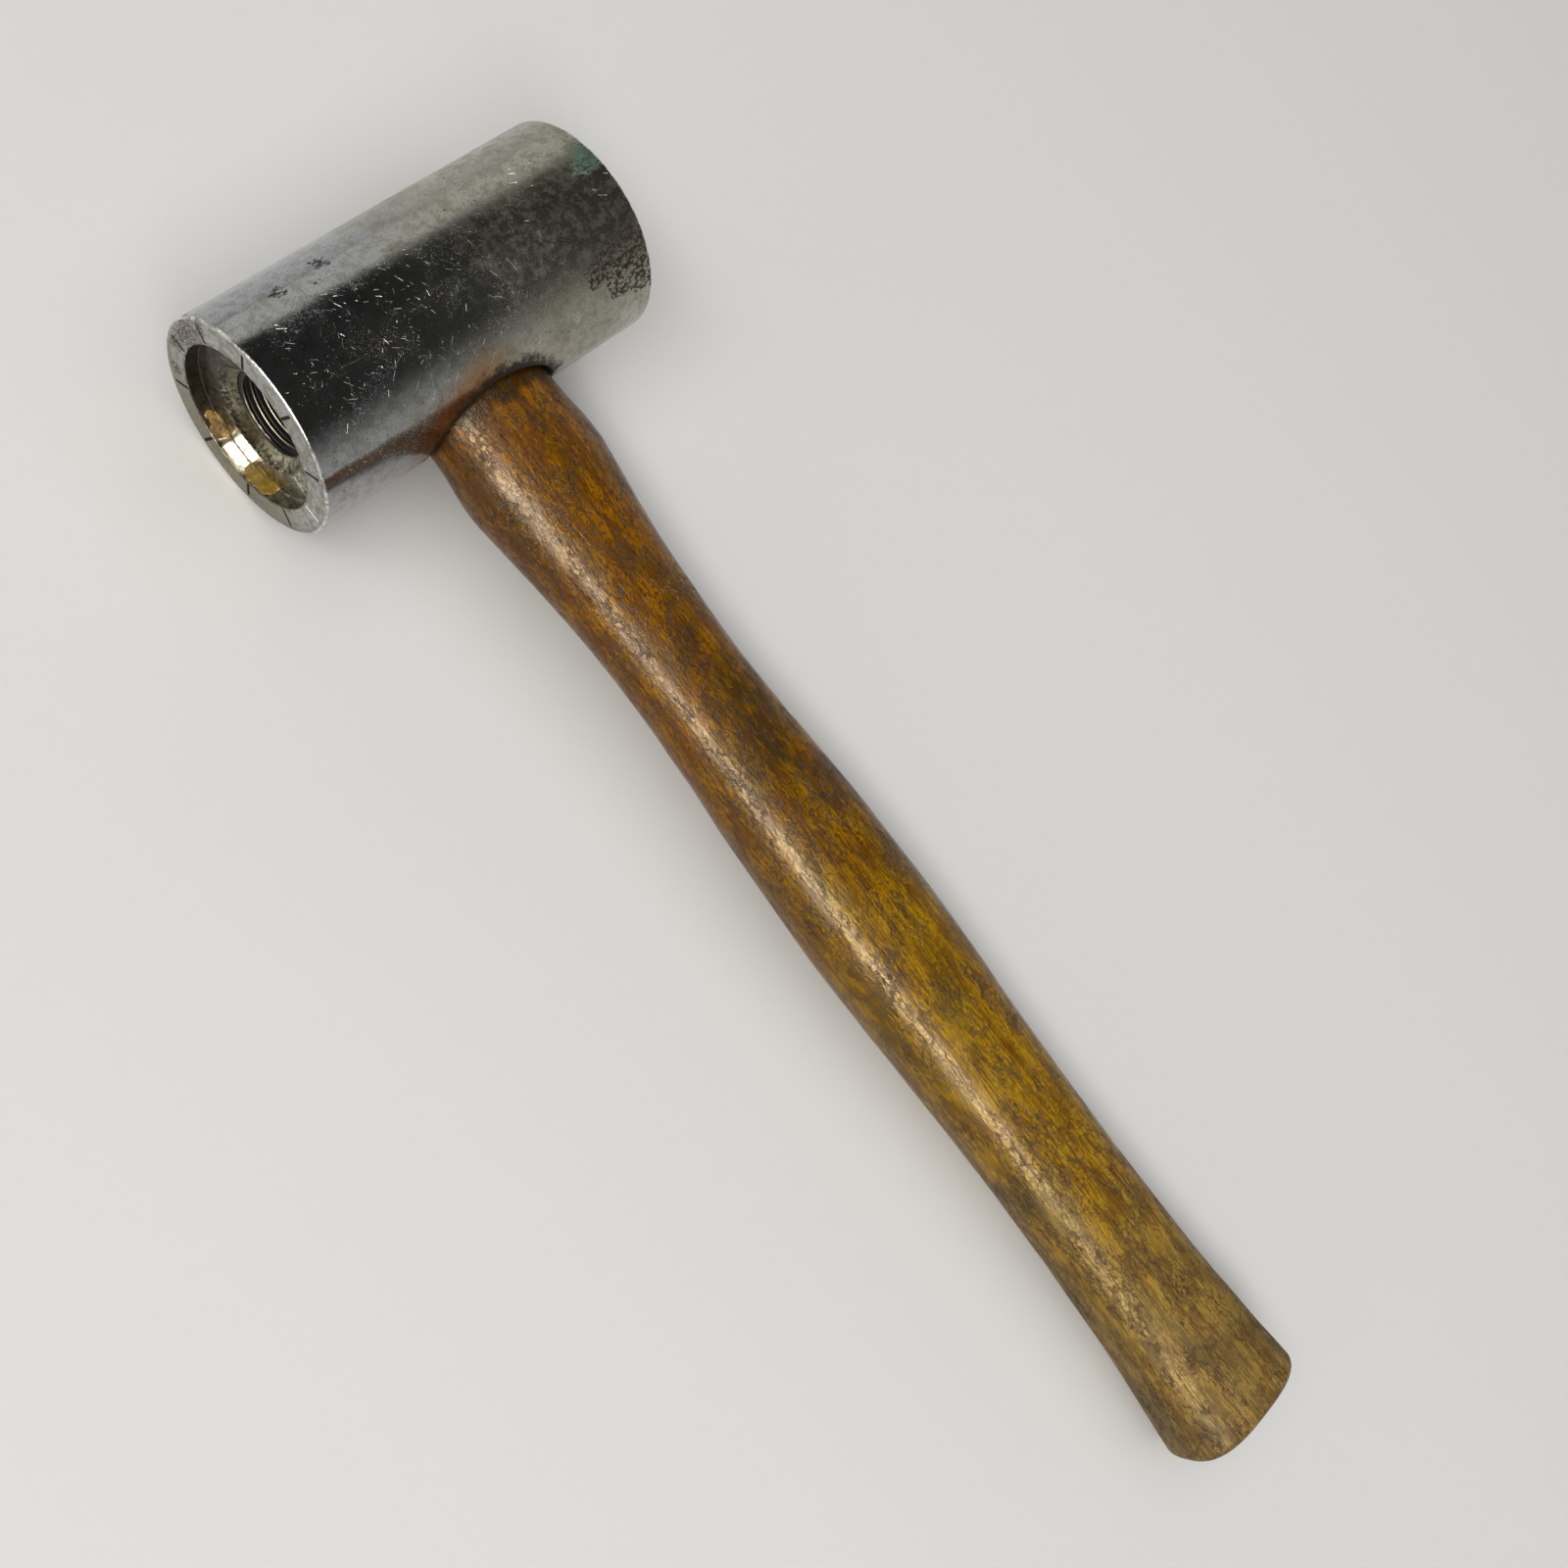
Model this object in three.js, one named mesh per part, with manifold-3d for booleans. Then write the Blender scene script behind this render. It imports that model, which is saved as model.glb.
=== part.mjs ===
// Soft-face hammer without its two screw-in faces: a plated cylindrical steel
// head with a threaded socket in each end, and a wooden handle wedged in an
// oval eye. The hammer lies on its side on a flat surface.
//
// Head frame, used while building: origin at the centre of the head, X along
// the barrel, -Y down the handle, Z across the barrel. Millimetres throughout.
import * as THREE from 'three';
import { mergeVertices } from 'three/addons/utils/BufferGeometryUtils.js';
import Module from 'manifold-3d';

// ---- driving dimensions -------------------------------------------------
const HEAD_R = 25.0; // barrel radius
const HEAD_L = 93.4; // barrel length
const RIM_CHAMFER = 0.6; // outer edge of each rim
const CBORE_R = 19.0; // shallow seat for the face insert
const CBORE_DEPTH = 3.5;
const SINK_R = 12.6; // mouth of the countersink on the seat's floor
const RELIEF_R = 10.0; // short clearance ring before the first thread
const RELIEF_DEPTH = 6.35;
const BORE_R = 9.0; // crest radius of the internal thread
const BORE_DEPTH = 23.5; // full depth of the bore
const BORE_TIP = 4.0; // length of the drill cone past it
const THREAD_R = 10.15; // root radius of the internal thread
const THREAD_PITCH = 2.12;
const THREAD_START = 3.73; // depth where the thread groove runs out
const THREAD_END = 21.5;
const SCORE_COUNT = 10; // radial score lines cut across each rim
const SCORE_PHASE = 34.5; // degrees, angle of the first from +Y towards +Z
const SCORE_R0 = 19.4;
const SCORE_R1 = 23.6;
const SCORE_W = 0.4;
const SCORE_D = 0.25;

const HANDLE_X = 0.55; // the handle's axis sits slightly off the head's middle
const FIT_GAP = 0.32; // clearance between touching pieces

// oval eye: [y, half length along X, half width along Z]
const EYE = [
  [-30.0, 17.6, 13.1],
  [-24.0, 17.5, 13.0],
  [-20.5, 17.1, 12.6],
  [-16.0, 15.6, 10.9],
  [-6.0, 13.6, 8.6],
  [6.0, 11.7, 6.6],
  [12.0, 11.1, 6.0],
  [19.0, 11.3, 6.05],
  [30.0, 11.9, 6.3],
];

// handle below the head: [y, half width along X, half thickness / half width,
// exponent of the rounded section]
const GRIP = [
  [-24.0, 16.55, 0.700, 2.1],
  [-27.0, 16.6, 0.700, 2.12],
  [-30.5, 16.85, 0.701, 2.15],
  [-34.0, 17.3, 0.702, 2.15],
  [-38.0, 17.68, 0.703, 2.15],
  [-42.0, 17.7, 0.704, 2.15],
  [-46.0, 17.3, 0.705, 2.15],
  [-52.0, 16.55, 0.707, 2.15],
  [-60.0, 15.6, 0.708, 2.15],
  [-68.0, 14.85, 0.71, 2.15],
  [-78.0, 14.25, 0.712, 2.15],
  [-88.0, 13.9, 0.715, 2.15],
  [-98.0, 13.85, 0.717, 2.15],
  [-108.0, 14.18, 0.72, 2.18],
  [-118.0, 14.68, 0.722, 2.21],
  [-130.0, 15.38, 0.725, 2.25],
  [-142.0, 15.92, 0.727, 2.28],
  [-156.0, 16.34, 0.731, 2.33],
  [-170.0, 16.52, 0.734, 2.37],
  [-184.0, 16.22, 0.738, 2.41],
  [-198.0, 15.76, 0.741, 2.45],
  [-212.0, 15.34, 0.744, 2.49],
  [-226.0, 15.08, 0.747, 2.54],
  [-240.0, 14.99, 0.75, 2.58],
  [-254.0, 15.08, 0.752, 2.62],
  [-266.0, 15.36, 0.752, 2.66],
  [-278.0, 15.77, 0.752, 2.7],
  [-288.0, 16.28, 0.752, 2.72],
  [-296.0, 16.82, 0.752, 2.75],
  [-302.0, 17.28, 0.752, 2.77],
  [-307.0, 17.72, 0.752, 2.78],
  [-312.4, 18.1, 0.752, 2.8],
];
const BUTT_ROUND = 2.4; // edge radius of the butt
const BUTT_DOME = 1.2; // crown of its end face

const WEDGE_TOP_T = 3.4; // wooden wedge, thickness at the top
const WEDGE_TIP_T = 0.9;
const WEDGE_TIP_Y = 4.0;
const STEEL_TOP_T = 2.0; // steel wedge across it
const STEEL_TIP_T = 0.8;
const STEEL_TIP_Y = 12.0;
const STEEL_W = 8.6;

const BARREL_SEGS = 72;
const SOCKET_SEGS = 48;
const BORE_SEGS = 24;
const OVAL_SEGS = 40;

// ---- helpers ------------------------------------------------------------
const wasm = await Module();
wasm.setup();

function solid(geometry) {
  const g = geometry.index ? geometry.clone() : geometry;
  g.deleteAttribute('normal');
  g.deleteAttribute('uv');
  const m = mergeVertices(g, 1e-4);
  const pos = m.attributes.position;
  const idx = Array.from(m.index.array);
  const a = new THREE.Vector3();
  const b = new THREE.Vector3();
  const c = new THREE.Vector3();
  const tris = [];
  let volume = 0;
  for (let i = 0; i < idx.length; i += 3) {
    const [p, q, r] = [idx[i], idx[i + 1], idx[i + 2]];
    if (p === q || q === r || r === p) continue;
    tris.push(p, q, r);
    a.fromBufferAttribute(pos, p);
    b.fromBufferAttribute(pos, q);
    c.fromBufferAttribute(pos, r);
    volume += a.dot(b.cross(c)) / 6;
  }
  if (volume < 0) {
    for (let i = 0; i < tris.length; i += 3) {
      [tris[i + 1], tris[i + 2]] = [tris[i + 2], tris[i + 1]];
    }
  }
  return new wasm.Manifold(
    new wasm.Mesh({
      numProp: 3,
      vertProperties: new Float32Array(pos.array),
      triVerts: new Uint32Array(tris),
    }),
  );
}

function geometryOf(manifold) {
  const mesh = manifold.getMesh();
  const g = new THREE.BufferGeometry();
  g.setAttribute('position', new THREE.BufferAttribute(Float32Array.from(mesh.vertProperties), 3));
  g.setIndex(Array.from(mesh.triVerts));
  g.computeVertexNormals();
  return g;
}

// closed loft through rings of equal length, fanned shut at both ends
function loft(rings) {
  const n = rings[0].length;
  const pos = [];
  const idx = [];
  for (const ring of rings) for (const p of ring) pos.push(p.x, p.y, p.z);
  for (let i = 0; i + 1 < rings.length; i++) {
    for (let j = 0; j < n; j++) {
      const k = (j + 1) % n;
      const a = i * n + j;
      const b = i * n + k;
      const c = a + n;
      const d = b + n;
      idx.push(a, c, b, b, c, d);
    }
  }
  const capEnd = (base, flip) => {
    const mid = new THREE.Vector3();
    for (let j = 0; j < n; j++) {
      mid.x += pos[3 * (base + j)] / n;
      mid.y += pos[3 * (base + j) + 1] / n;
      mid.z += pos[3 * (base + j) + 2] / n;
    }
    const m = pos.length / 3;
    pos.push(mid.x, mid.y, mid.z);
    for (let j = 0; j < n; j++) {
      const k = (j + 1) % n;
      if (flip) idx.push(m, base + k, base + j);
      else idx.push(m, base + j, base + k);
    }
  };
  capEnd(0, false);
  capEnd((rings.length - 1) * n, true);
  const g = new THREE.BufferGeometry();
  g.setAttribute('position', new THREE.Float32BufferAttribute(pos, 3));
  g.setIndex(idx);
  return g;
}

function oval(y, a, b, k, cx = HANDLE_X, n = OVAL_SEGS) {
  const ring = [];
  for (let j = 0; j < n; j++) {
    const t = (2 * Math.PI * j) / n;
    const c = Math.cos(t);
    const s = Math.sin(t);
    ring.push(
      new THREE.Vector3(
        cx + a * Math.sign(c) * Math.abs(c) ** (2 / k),
        y,
        b * Math.sign(s) * Math.abs(s) ** (2 / k),
      ),
    );
  }
  return ring;
}

// box between two rectangles at y0 (x half hx0, z half hz0) and y1
function taper(cx, y0, hx0, hz0, y1, hx1, hz1) {
  const rect = (y, hx, hz) => [
    new THREE.Vector3(cx + hx, y, hz),
    new THREE.Vector3(cx - hx, y, hz),
    new THREE.Vector3(cx - hx, y, -hz),
    new THREE.Vector3(cx + hx, y, -hz),
  ];
  return solid(loft([rect(y0, hx0, hz0), rect(y1, hx1, hz1)]));
}

// turned body about X from a profile of (radius, x) points
function turned(profile, segs, phase = 0) {
  const g = new THREE.LatheGeometry(
    profile.map(([r, x]) => new THREE.Vector2(r, x)),
    segs,
  );
  g.rotateZ(-Math.PI / 2); // lathe axis Y to +X
  g.rotateX(phase);
  return solid(g);
}

// ---- lie angle ----------------------------------------------------------
// the barrel and the lower edge of the butt both touch the surface
function buttRings() {
  const [y, a, ratio, k] = GRIP[GRIP.length - 1];
  const rings = [];
  for (const deg of [25, 50, 72, 90]) {
    const t = (deg * Math.PI) / 180;
    const inset = BUTT_ROUND * (1 - Math.cos(t));
    rings.push([y - BUTT_ROUND * Math.sin(t), a - inset, a * ratio - inset, k]);
  }
  for (const f of [0.72, 0.4]) {
    rings.push([
      y - BUTT_ROUND - BUTT_DOME * (1 - f * f),
      (a - BUTT_ROUND) * f,
      (a * ratio - BUTT_ROUND) * f,
      k,
    ]);
  }
  return rings;
}
const profileLow = [
  ...GRIP.map(([y, a, ratio]) => [y, a * ratio]),
  ...buttRings().map(([y, , b]) => [y, b]),
];
let lie = 0;
for (let lo = 0, hi = 0.2, i = 0; i < 60; i++) {
  lie = (lo + hi) / 2;
  const lowest = Math.min(
    ...profileLow.map(([y, b]) => y * Math.sin(lie) - b * Math.cos(lie)),
  );
  if (lowest < -HEAD_R) hi = lie;
  else lo = lie;
}

// ---- head ---------------------------------------------------------------
const H = HEAD_L / 2;
const FACE_R = HEAD_R - RIM_CHAMFER;
let head = turned(
  [
    [0, -H],
    [FACE_R, -H],
    [HEAD_R, -H + RIM_CHAMFER],
    [HEAD_R, H - RIM_CHAMFER],
    [FACE_R, H],
    [0, H],
  ],
  BARREL_SEGS,
  -lie,
);

const sinkEnd = CBORE_DEPTH + (SINK_R - BORE_R); // 45 degree countersink
function socket() {
  const seat = turned(
    [
      [0, -H - 1],
      [CBORE_R, -H - 1],
      [CBORE_R, -H + CBORE_DEPTH],
      [SINK_R, -H + CBORE_DEPTH],
      [BORE_R - 0.02, -H + sinkEnd + 0.02],
      [0, -H + sinkEnd + 0.02],
    ],
    SOCKET_SEGS,
  );
  const relief = turned(
    [
      [0, -H + CBORE_DEPTH],
      [RELIEF_R, -H + CBORE_DEPTH],
      [RELIEF_R, -H + RELIEF_DEPTH],
      [0, -H + RELIEF_DEPTH],
    ],
    SOCKET_SEGS,
  );
  const bore = turned(
    [
      [0, -H + CBORE_DEPTH],
      [BORE_R, -H + CBORE_DEPTH],
      [BORE_R, -H + BORE_DEPTH],
      [1.0, -H + BORE_DEPTH + BORE_TIP],
      [0, -H + BORE_DEPTH + BORE_TIP],
    ],
    BORE_SEGS,
  );
  // right-hand thread groove
  const turns = (THREAD_END - THREAD_START) / THREAD_PITCH;
  const steps = Math.round(turns * BORE_SEGS);
  const w0 = 0.44 * THREAD_PITCH;
  const w1 = 0.09 * THREAD_PITCH;
  const rings = [];
  for (let i = 0; i <= steps; i++) {
    const t = (i / BORE_SEGS) * 2 * Math.PI;
    const x = -H + THREAD_START + (i / BORE_SEGS) * THREAD_PITCH;
    // the groove fades out over its last half turn
    const fade = Math.min(1, (steps - i) / (BORE_SEGS / 2));
    const root = BORE_R + (THREAD_R - BORE_R) * Math.max(fade, 0.04);
    const section = [
      [BORE_R - 0.4, -w0],
      [BORE_R, -w0],
      [root, -w1],
      [root, w1],
      [BORE_R, w0],
      [BORE_R - 0.4, w0],
    ];
    rings.push(
      section.map(([r, dx]) => new THREE.Vector3(x + dx, r * Math.cos(t), r * Math.sin(t))),
    );
  }
  return seat.add(relief).add(bore).add(solid(loft(rings)));
}

function scores() {
  let cut = null;
  for (let i = 0; i < SCORE_COUNT; i++) {
    const g = new THREE.BoxGeometry(2 * SCORE_D, SCORE_R1 - SCORE_R0, SCORE_W);
    g.translate(-H, (SCORE_R0 + SCORE_R1) / 2, 0);
    g.rotateX(((SCORE_PHASE + (i * 360) / SCORE_COUNT) * Math.PI) / 180);
    const s = solid(g);
    cut = cut ? cut.add(s) : s;
  }
  return cut;
}

const nearCut = socket().add(scores());
const farCut = nearCut.rotate([0, 0, 180]);
head = head.subtract(nearCut).subtract(farCut);
const eye = solid(loft(EYE.map(([y, a, b]) => oval(y, a, b, 2.0))));
head = head.subtract(eye);

// ---- handle -------------------------------------------------------------
const tenonRings = EYE.filter(([y]) => y > -18)
  .reverse()
  .map(([y, a, b]) => [y, a - FIT_GAP, b - FIT_GAP, 2.0]);
const handleRings = [
  ...tenonRings,
  [-20.5, 16.45, 11.35, 2.05],
  ...GRIP.map(([y, a, ratio, k]) => [y, a, a * ratio, k]),
  ...buttRings(),
];
const blank = solid(loft(handleRings.map(([y, a, b, k]) => oval(y, a, b, k))));
// the tenon's end is sanded to the curve of the barrel
const flush = turned(
  [
    [0, -30],
    [HEAD_R - 0.15, -30],
    [HEAD_R - 0.15, 30],
    [0, 30],
  ],
  BARREL_SEGS,
  -lie,
);
const lower = taper(0, -330, 60, 60, 0, 60, 60);
const envelope = flush.add(lower);

const wedgeShape = (gap) =>
  taper(
    HANDLE_X,
    WEDGE_TIP_Y - gap,
    20,
    WEDGE_TIP_T / 2 + gap,
    30,
    20,
    (WEDGE_TOP_T / 2) * 1.12 + gap,
  );
const steelShape = (gap) =>
  taper(
    HANDLE_X + 0.8,
    STEEL_TIP_Y - gap,
    STEEL_TIP_T / 2 + gap,
    STEEL_W / 2 + gap,
    30,
    (STEEL_TOP_T / 2) * 1.2 + gap,
    STEEL_W / 2 + gap,
  );
const handle = blank
  .intersect(envelope)
  .subtract(wedgeShape(FIT_GAP))
  .subtract(steelShape(FIT_GAP));
const woodWedge = blank.intersect(flush).intersect(wedgeShape(0)).subtract(steelShape(FIT_GAP));
const steelWedge = flush.intersect(steelShape(0));

// ---- scene --------------------------------------------------------------
const plated = { color: 0x9a9b98, roughness: 0.28, metalness: 1.0 };
function node(name, manifold, material) {
  const mesh = new THREE.Mesh(geometryOf(manifold), new THREE.MeshStandardMaterial(material));
  mesh.name = name;
  return mesh;
}
const hammer = new THREE.Group();
hammer.add(
  node('head_body', head, plated),
  node('handle', handle, { color: 0x8a5a2c, roughness: 0.42, metalness: 0.0 }),
  node('wood_wedge', woodWedge, { color: 0xb08a5a, roughness: 0.7, metalness: 0.0 }),
  node('steel_wedge', steelWedge, { color: 0x5a5650, roughness: 0.55, metalness: 1.0 }),
);
hammer.rotation.x = lie;

const group = new THREE.Group();
group.add(hammer);
group.updateMatrixWorld(true);
const bounds = new THREE.Box3().setFromObject(group, true);
hammer.position.set(0, -(bounds.min.y + bounds.max.y) / 2, -bounds.min.z);
group.updateMatrixWorld(true);

export default group;
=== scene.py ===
import math
import random

import bmesh
import bpy
import numpy as np
from mathutils import Matrix, Vector
from mathutils.geometry import delaunay_2d_cdt
from mathutils.kdtree import KDTree


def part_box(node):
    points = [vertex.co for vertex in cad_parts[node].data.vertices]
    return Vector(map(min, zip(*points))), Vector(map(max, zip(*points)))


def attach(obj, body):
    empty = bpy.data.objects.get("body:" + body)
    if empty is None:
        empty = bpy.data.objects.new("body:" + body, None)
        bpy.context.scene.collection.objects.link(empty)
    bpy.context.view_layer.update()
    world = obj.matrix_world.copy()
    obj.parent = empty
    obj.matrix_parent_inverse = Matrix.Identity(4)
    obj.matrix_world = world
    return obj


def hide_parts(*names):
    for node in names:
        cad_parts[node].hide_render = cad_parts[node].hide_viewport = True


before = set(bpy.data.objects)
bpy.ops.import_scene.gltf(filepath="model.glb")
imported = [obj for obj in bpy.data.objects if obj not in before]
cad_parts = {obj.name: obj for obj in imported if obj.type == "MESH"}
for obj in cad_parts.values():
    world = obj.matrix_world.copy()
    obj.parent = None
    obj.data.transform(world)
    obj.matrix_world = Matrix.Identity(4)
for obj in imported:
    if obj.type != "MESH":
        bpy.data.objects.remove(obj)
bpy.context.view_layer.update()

# ---------------------------------------------------------------- frame ----
# Head frame (millimetres): origin at the centre of the head, X along the
# barrel, -Y down the handle, Z across. The hammer lies tipped by LIE about X.
lo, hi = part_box("head_body")
CENTRE = [(a + b) / 2 for a, b in zip(lo, hi)]
R = 25.0
HALF = (hi[0] - lo[0]) * 500.0
LIE = math.radians(2.0908910776)
HX = 0.55
GAP = 0.32
ROT = np.array(
    [
        [1, 0, 0],
        [0, math.cos(LIE), -math.sin(LIE)],
        [0, math.sin(LIE), math.cos(LIE)],
    ]
)


def to_row(p):
    return (np.asarray(p, float) @ ROT.T) / 1000.0 + np.array(CENTRE)


EYE = np.array(
    [
        [-30.0, 17.6, 13.1],
        [-24.0, 17.5, 13.0],
        [-20.5, 17.1, 12.6],
        [-16.0, 15.6, 10.9],
        [-6.0, 13.6, 8.6],
        [6.0, 11.7, 6.6],
        [12.0, 11.1, 6.0],
        [19.0, 11.3, 6.05],
        [30.0, 11.9, 6.3],
    ]
)
GRIP = np.array(
    [
        [-24.0, 16.55, 0.700, 2.1],
        [-27.0, 16.6, 0.700, 2.12],
        [-30.5, 16.85, 0.701, 2.15],
        [-34.0, 17.3, 0.702, 2.15],
        [-38.0, 17.68, 0.703, 2.15],
        [-42.0, 17.7, 0.704, 2.15],
        [-46.0, 17.3, 0.705, 2.15],
        [-52.0, 16.55, 0.707, 2.15],
        [-60.0, 15.6, 0.708, 2.15],
        [-68.0, 14.85, 0.71, 2.15],
        [-78.0, 14.25, 0.712, 2.15],
        [-88.0, 13.9, 0.715, 2.15],
        [-98.0, 13.85, 0.717, 2.15],
        [-108.0, 14.18, 0.72, 2.18],
        [-118.0, 14.68, 0.722, 2.21],
        [-130.0, 15.38, 0.725, 2.25],
        [-142.0, 15.92, 0.727, 2.28],
        [-156.0, 16.34, 0.731, 2.33],
        [-170.0, 16.52, 0.734, 2.37],
        [-184.0, 16.22, 0.738, 2.41],
        [-198.0, 15.76, 0.741, 2.45],
        [-212.0, 15.34, 0.744, 2.49],
        [-226.0, 15.08, 0.747, 2.54],
        [-240.0, 14.99, 0.75, 2.58],
        [-254.0, 15.08, 0.752, 2.62],
        [-266.0, 15.36, 0.752, 2.66],
        [-278.0, 15.77, 0.752, 2.7],
        [-288.0, 16.28, 0.752, 2.72],
        [-296.0, 16.82, 0.752, 2.75],
        [-302.0, 17.28, 0.752, 2.77],
        [-307.0, 17.72, 0.752, 2.78],
        [-312.4, 18.1, 0.752, 2.8],
    ]
)
BUTT_ROUND = 2.4
BUTT_DOME = 1.0


def smooth_interp(x, xs, ys):
    """Cubic Hermite through (xs, ys) with limited slopes; xs ascending."""
    x = np.asarray(x, float)
    h = np.diff(xs)
    d = np.diff(ys) / h
    m = np.zeros_like(ys)
    m[0], m[-1] = d[0], d[-1]
    for i in range(1, len(ys) - 1):
        if d[i - 1] * d[i] > 0:
            w1, w2 = 2 * h[i] + h[i - 1], h[i] + 2 * h[i - 1]
            m[i] = (w1 + w2) / (w1 / d[i - 1] + w2 / d[i])
    k = np.clip(np.searchsorted(xs, x) - 1, 0, len(h) - 1)
    t = np.clip((x - xs[k]) / h[k], 0, 1)
    t2, t3 = t * t, t * t * t
    return (
        (2 * t3 - 3 * t2 + 1) * ys[k]
        + (t3 - 2 * t2 + t) * h[k] * m[k]
        + (-2 * t3 + 3 * t2) * ys[k + 1]
        + (t3 - t2) * h[k] * m[k + 1]
    )


# --------------------------------------------------------------- builder ----
class Shell:
    """Patches of vertices with optional normals, welded where they meet."""

    def __init__(self):
        self.v, self.n, self.f, self.m = [], [], [], []
        self.count = 0

    def add(self, pts, normals=None):
        pts = np.asarray(pts, float).reshape(-1, 3)
        if normals is None:
            normals = np.full_like(pts, np.nan)
        self.v.append(pts)
        self.n.append(np.asarray(normals, float).reshape(-1, 3))
        first = self.count
        self.count += len(pts)
        return first

    def face(self, idx, mat=0):
        self.f.append(tuple(idx))
        self.m.append(mat)

    def rings(self, rings, normals, mat=0, close=True):
        """Quads between rings of equal length."""
        n = len(rings[0])
        first = [
            self.add(r, None if normals is None else normals[i])
            for i, r in enumerate(rings)
        ]
        span = n if close else n - 1
        for a, b in zip(first[:-1], first[1:]):
            for j in range(span):
                k = (j + 1) % n
                self.face((a + j, a + k, b + k, b + j), mat)
        return first

    def mesh(self, name, weld=2e-4):
        v = np.vstack(self.v)
        nrm = np.vstack(self.n)
        tree = KDTree(len(v))
        for i, p in enumerate(v):
            tree.insert(p, i)
        tree.balance()
        inv, first = np.full(len(v), -1), []
        for i, p in enumerate(v):
            if inv[i] < 0:
                for _, j, _ in tree.find_range(p, weld):
                    if inv[j] < 0:
                        inv[j] = len(first)
                first.append(i)
        pos = v[first]
        good = ~np.isnan(nrm[:, 0])
        out = np.full_like(pos, np.nan)
        idx = np.nonzero(good)[0][::-1]
        out[inv[idx]] = nrm[idx]
        faces, mats = [], []
        for f, m in zip(self.f, self.m):
            g = []
            for i in f:
                q = int(inv[i])
                if q not in g:
                    g.append(q)
            if len(g) > 2:
                faces.append(g)
                mats.append(m)
        me = bpy.data.meshes.new(name)
        me.from_pydata(to_row(pos).tolist(), [], faces)
        me.polygons.foreach_set("material_index", mats)
        bm = bmesh.new()
        bm.from_mesh(me)
        bmesh.ops.recalc_face_normals(bm, faces=bm.faces)
        if bm.calc_volume(signed=True) < 0:
            bmesh.ops.reverse_faces(bm, faces=bm.faces)
        bad = sum(1 for e in bm.edges if len(e.link_faces) != 2)
        print(name, "verts", len(bm.verts), "faces", len(bm.faces), "open edges", bad)
        bm.to_mesh(me)
        bm.free()
        me.polygons.foreach_set("use_smooth", [True] * len(me.polygons))
        me.update()
        if good.any():
            auto = np.zeros(len(me.vertices) * 3)
            me.vertices.foreach_get("normal", auto)
            auto = auto.reshape(-1, 3)
            own = out @ ROT.T
            has = ~np.isnan(own[:, 0])
            own[has] /= np.linalg.norm(own[has], axis=1, keepdims=True)
            auto[has] = own[has]
            me.normals_split_custom_set_from_vertices(auto.tolist())
        return me


def piece(name, me, *mats):
    ob = bpy.data.objects.new(name, me)
    bpy.context.scene.collection.objects.link(ob)
    for m in mats:
        me.materials.append(m)
    return ob


def smoothstep(a, b, x):
    t = np.clip((np.asarray(x, float) - a) / (b - a), 0, 1)
    return t * t * (3 - 2 * t)


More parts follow.
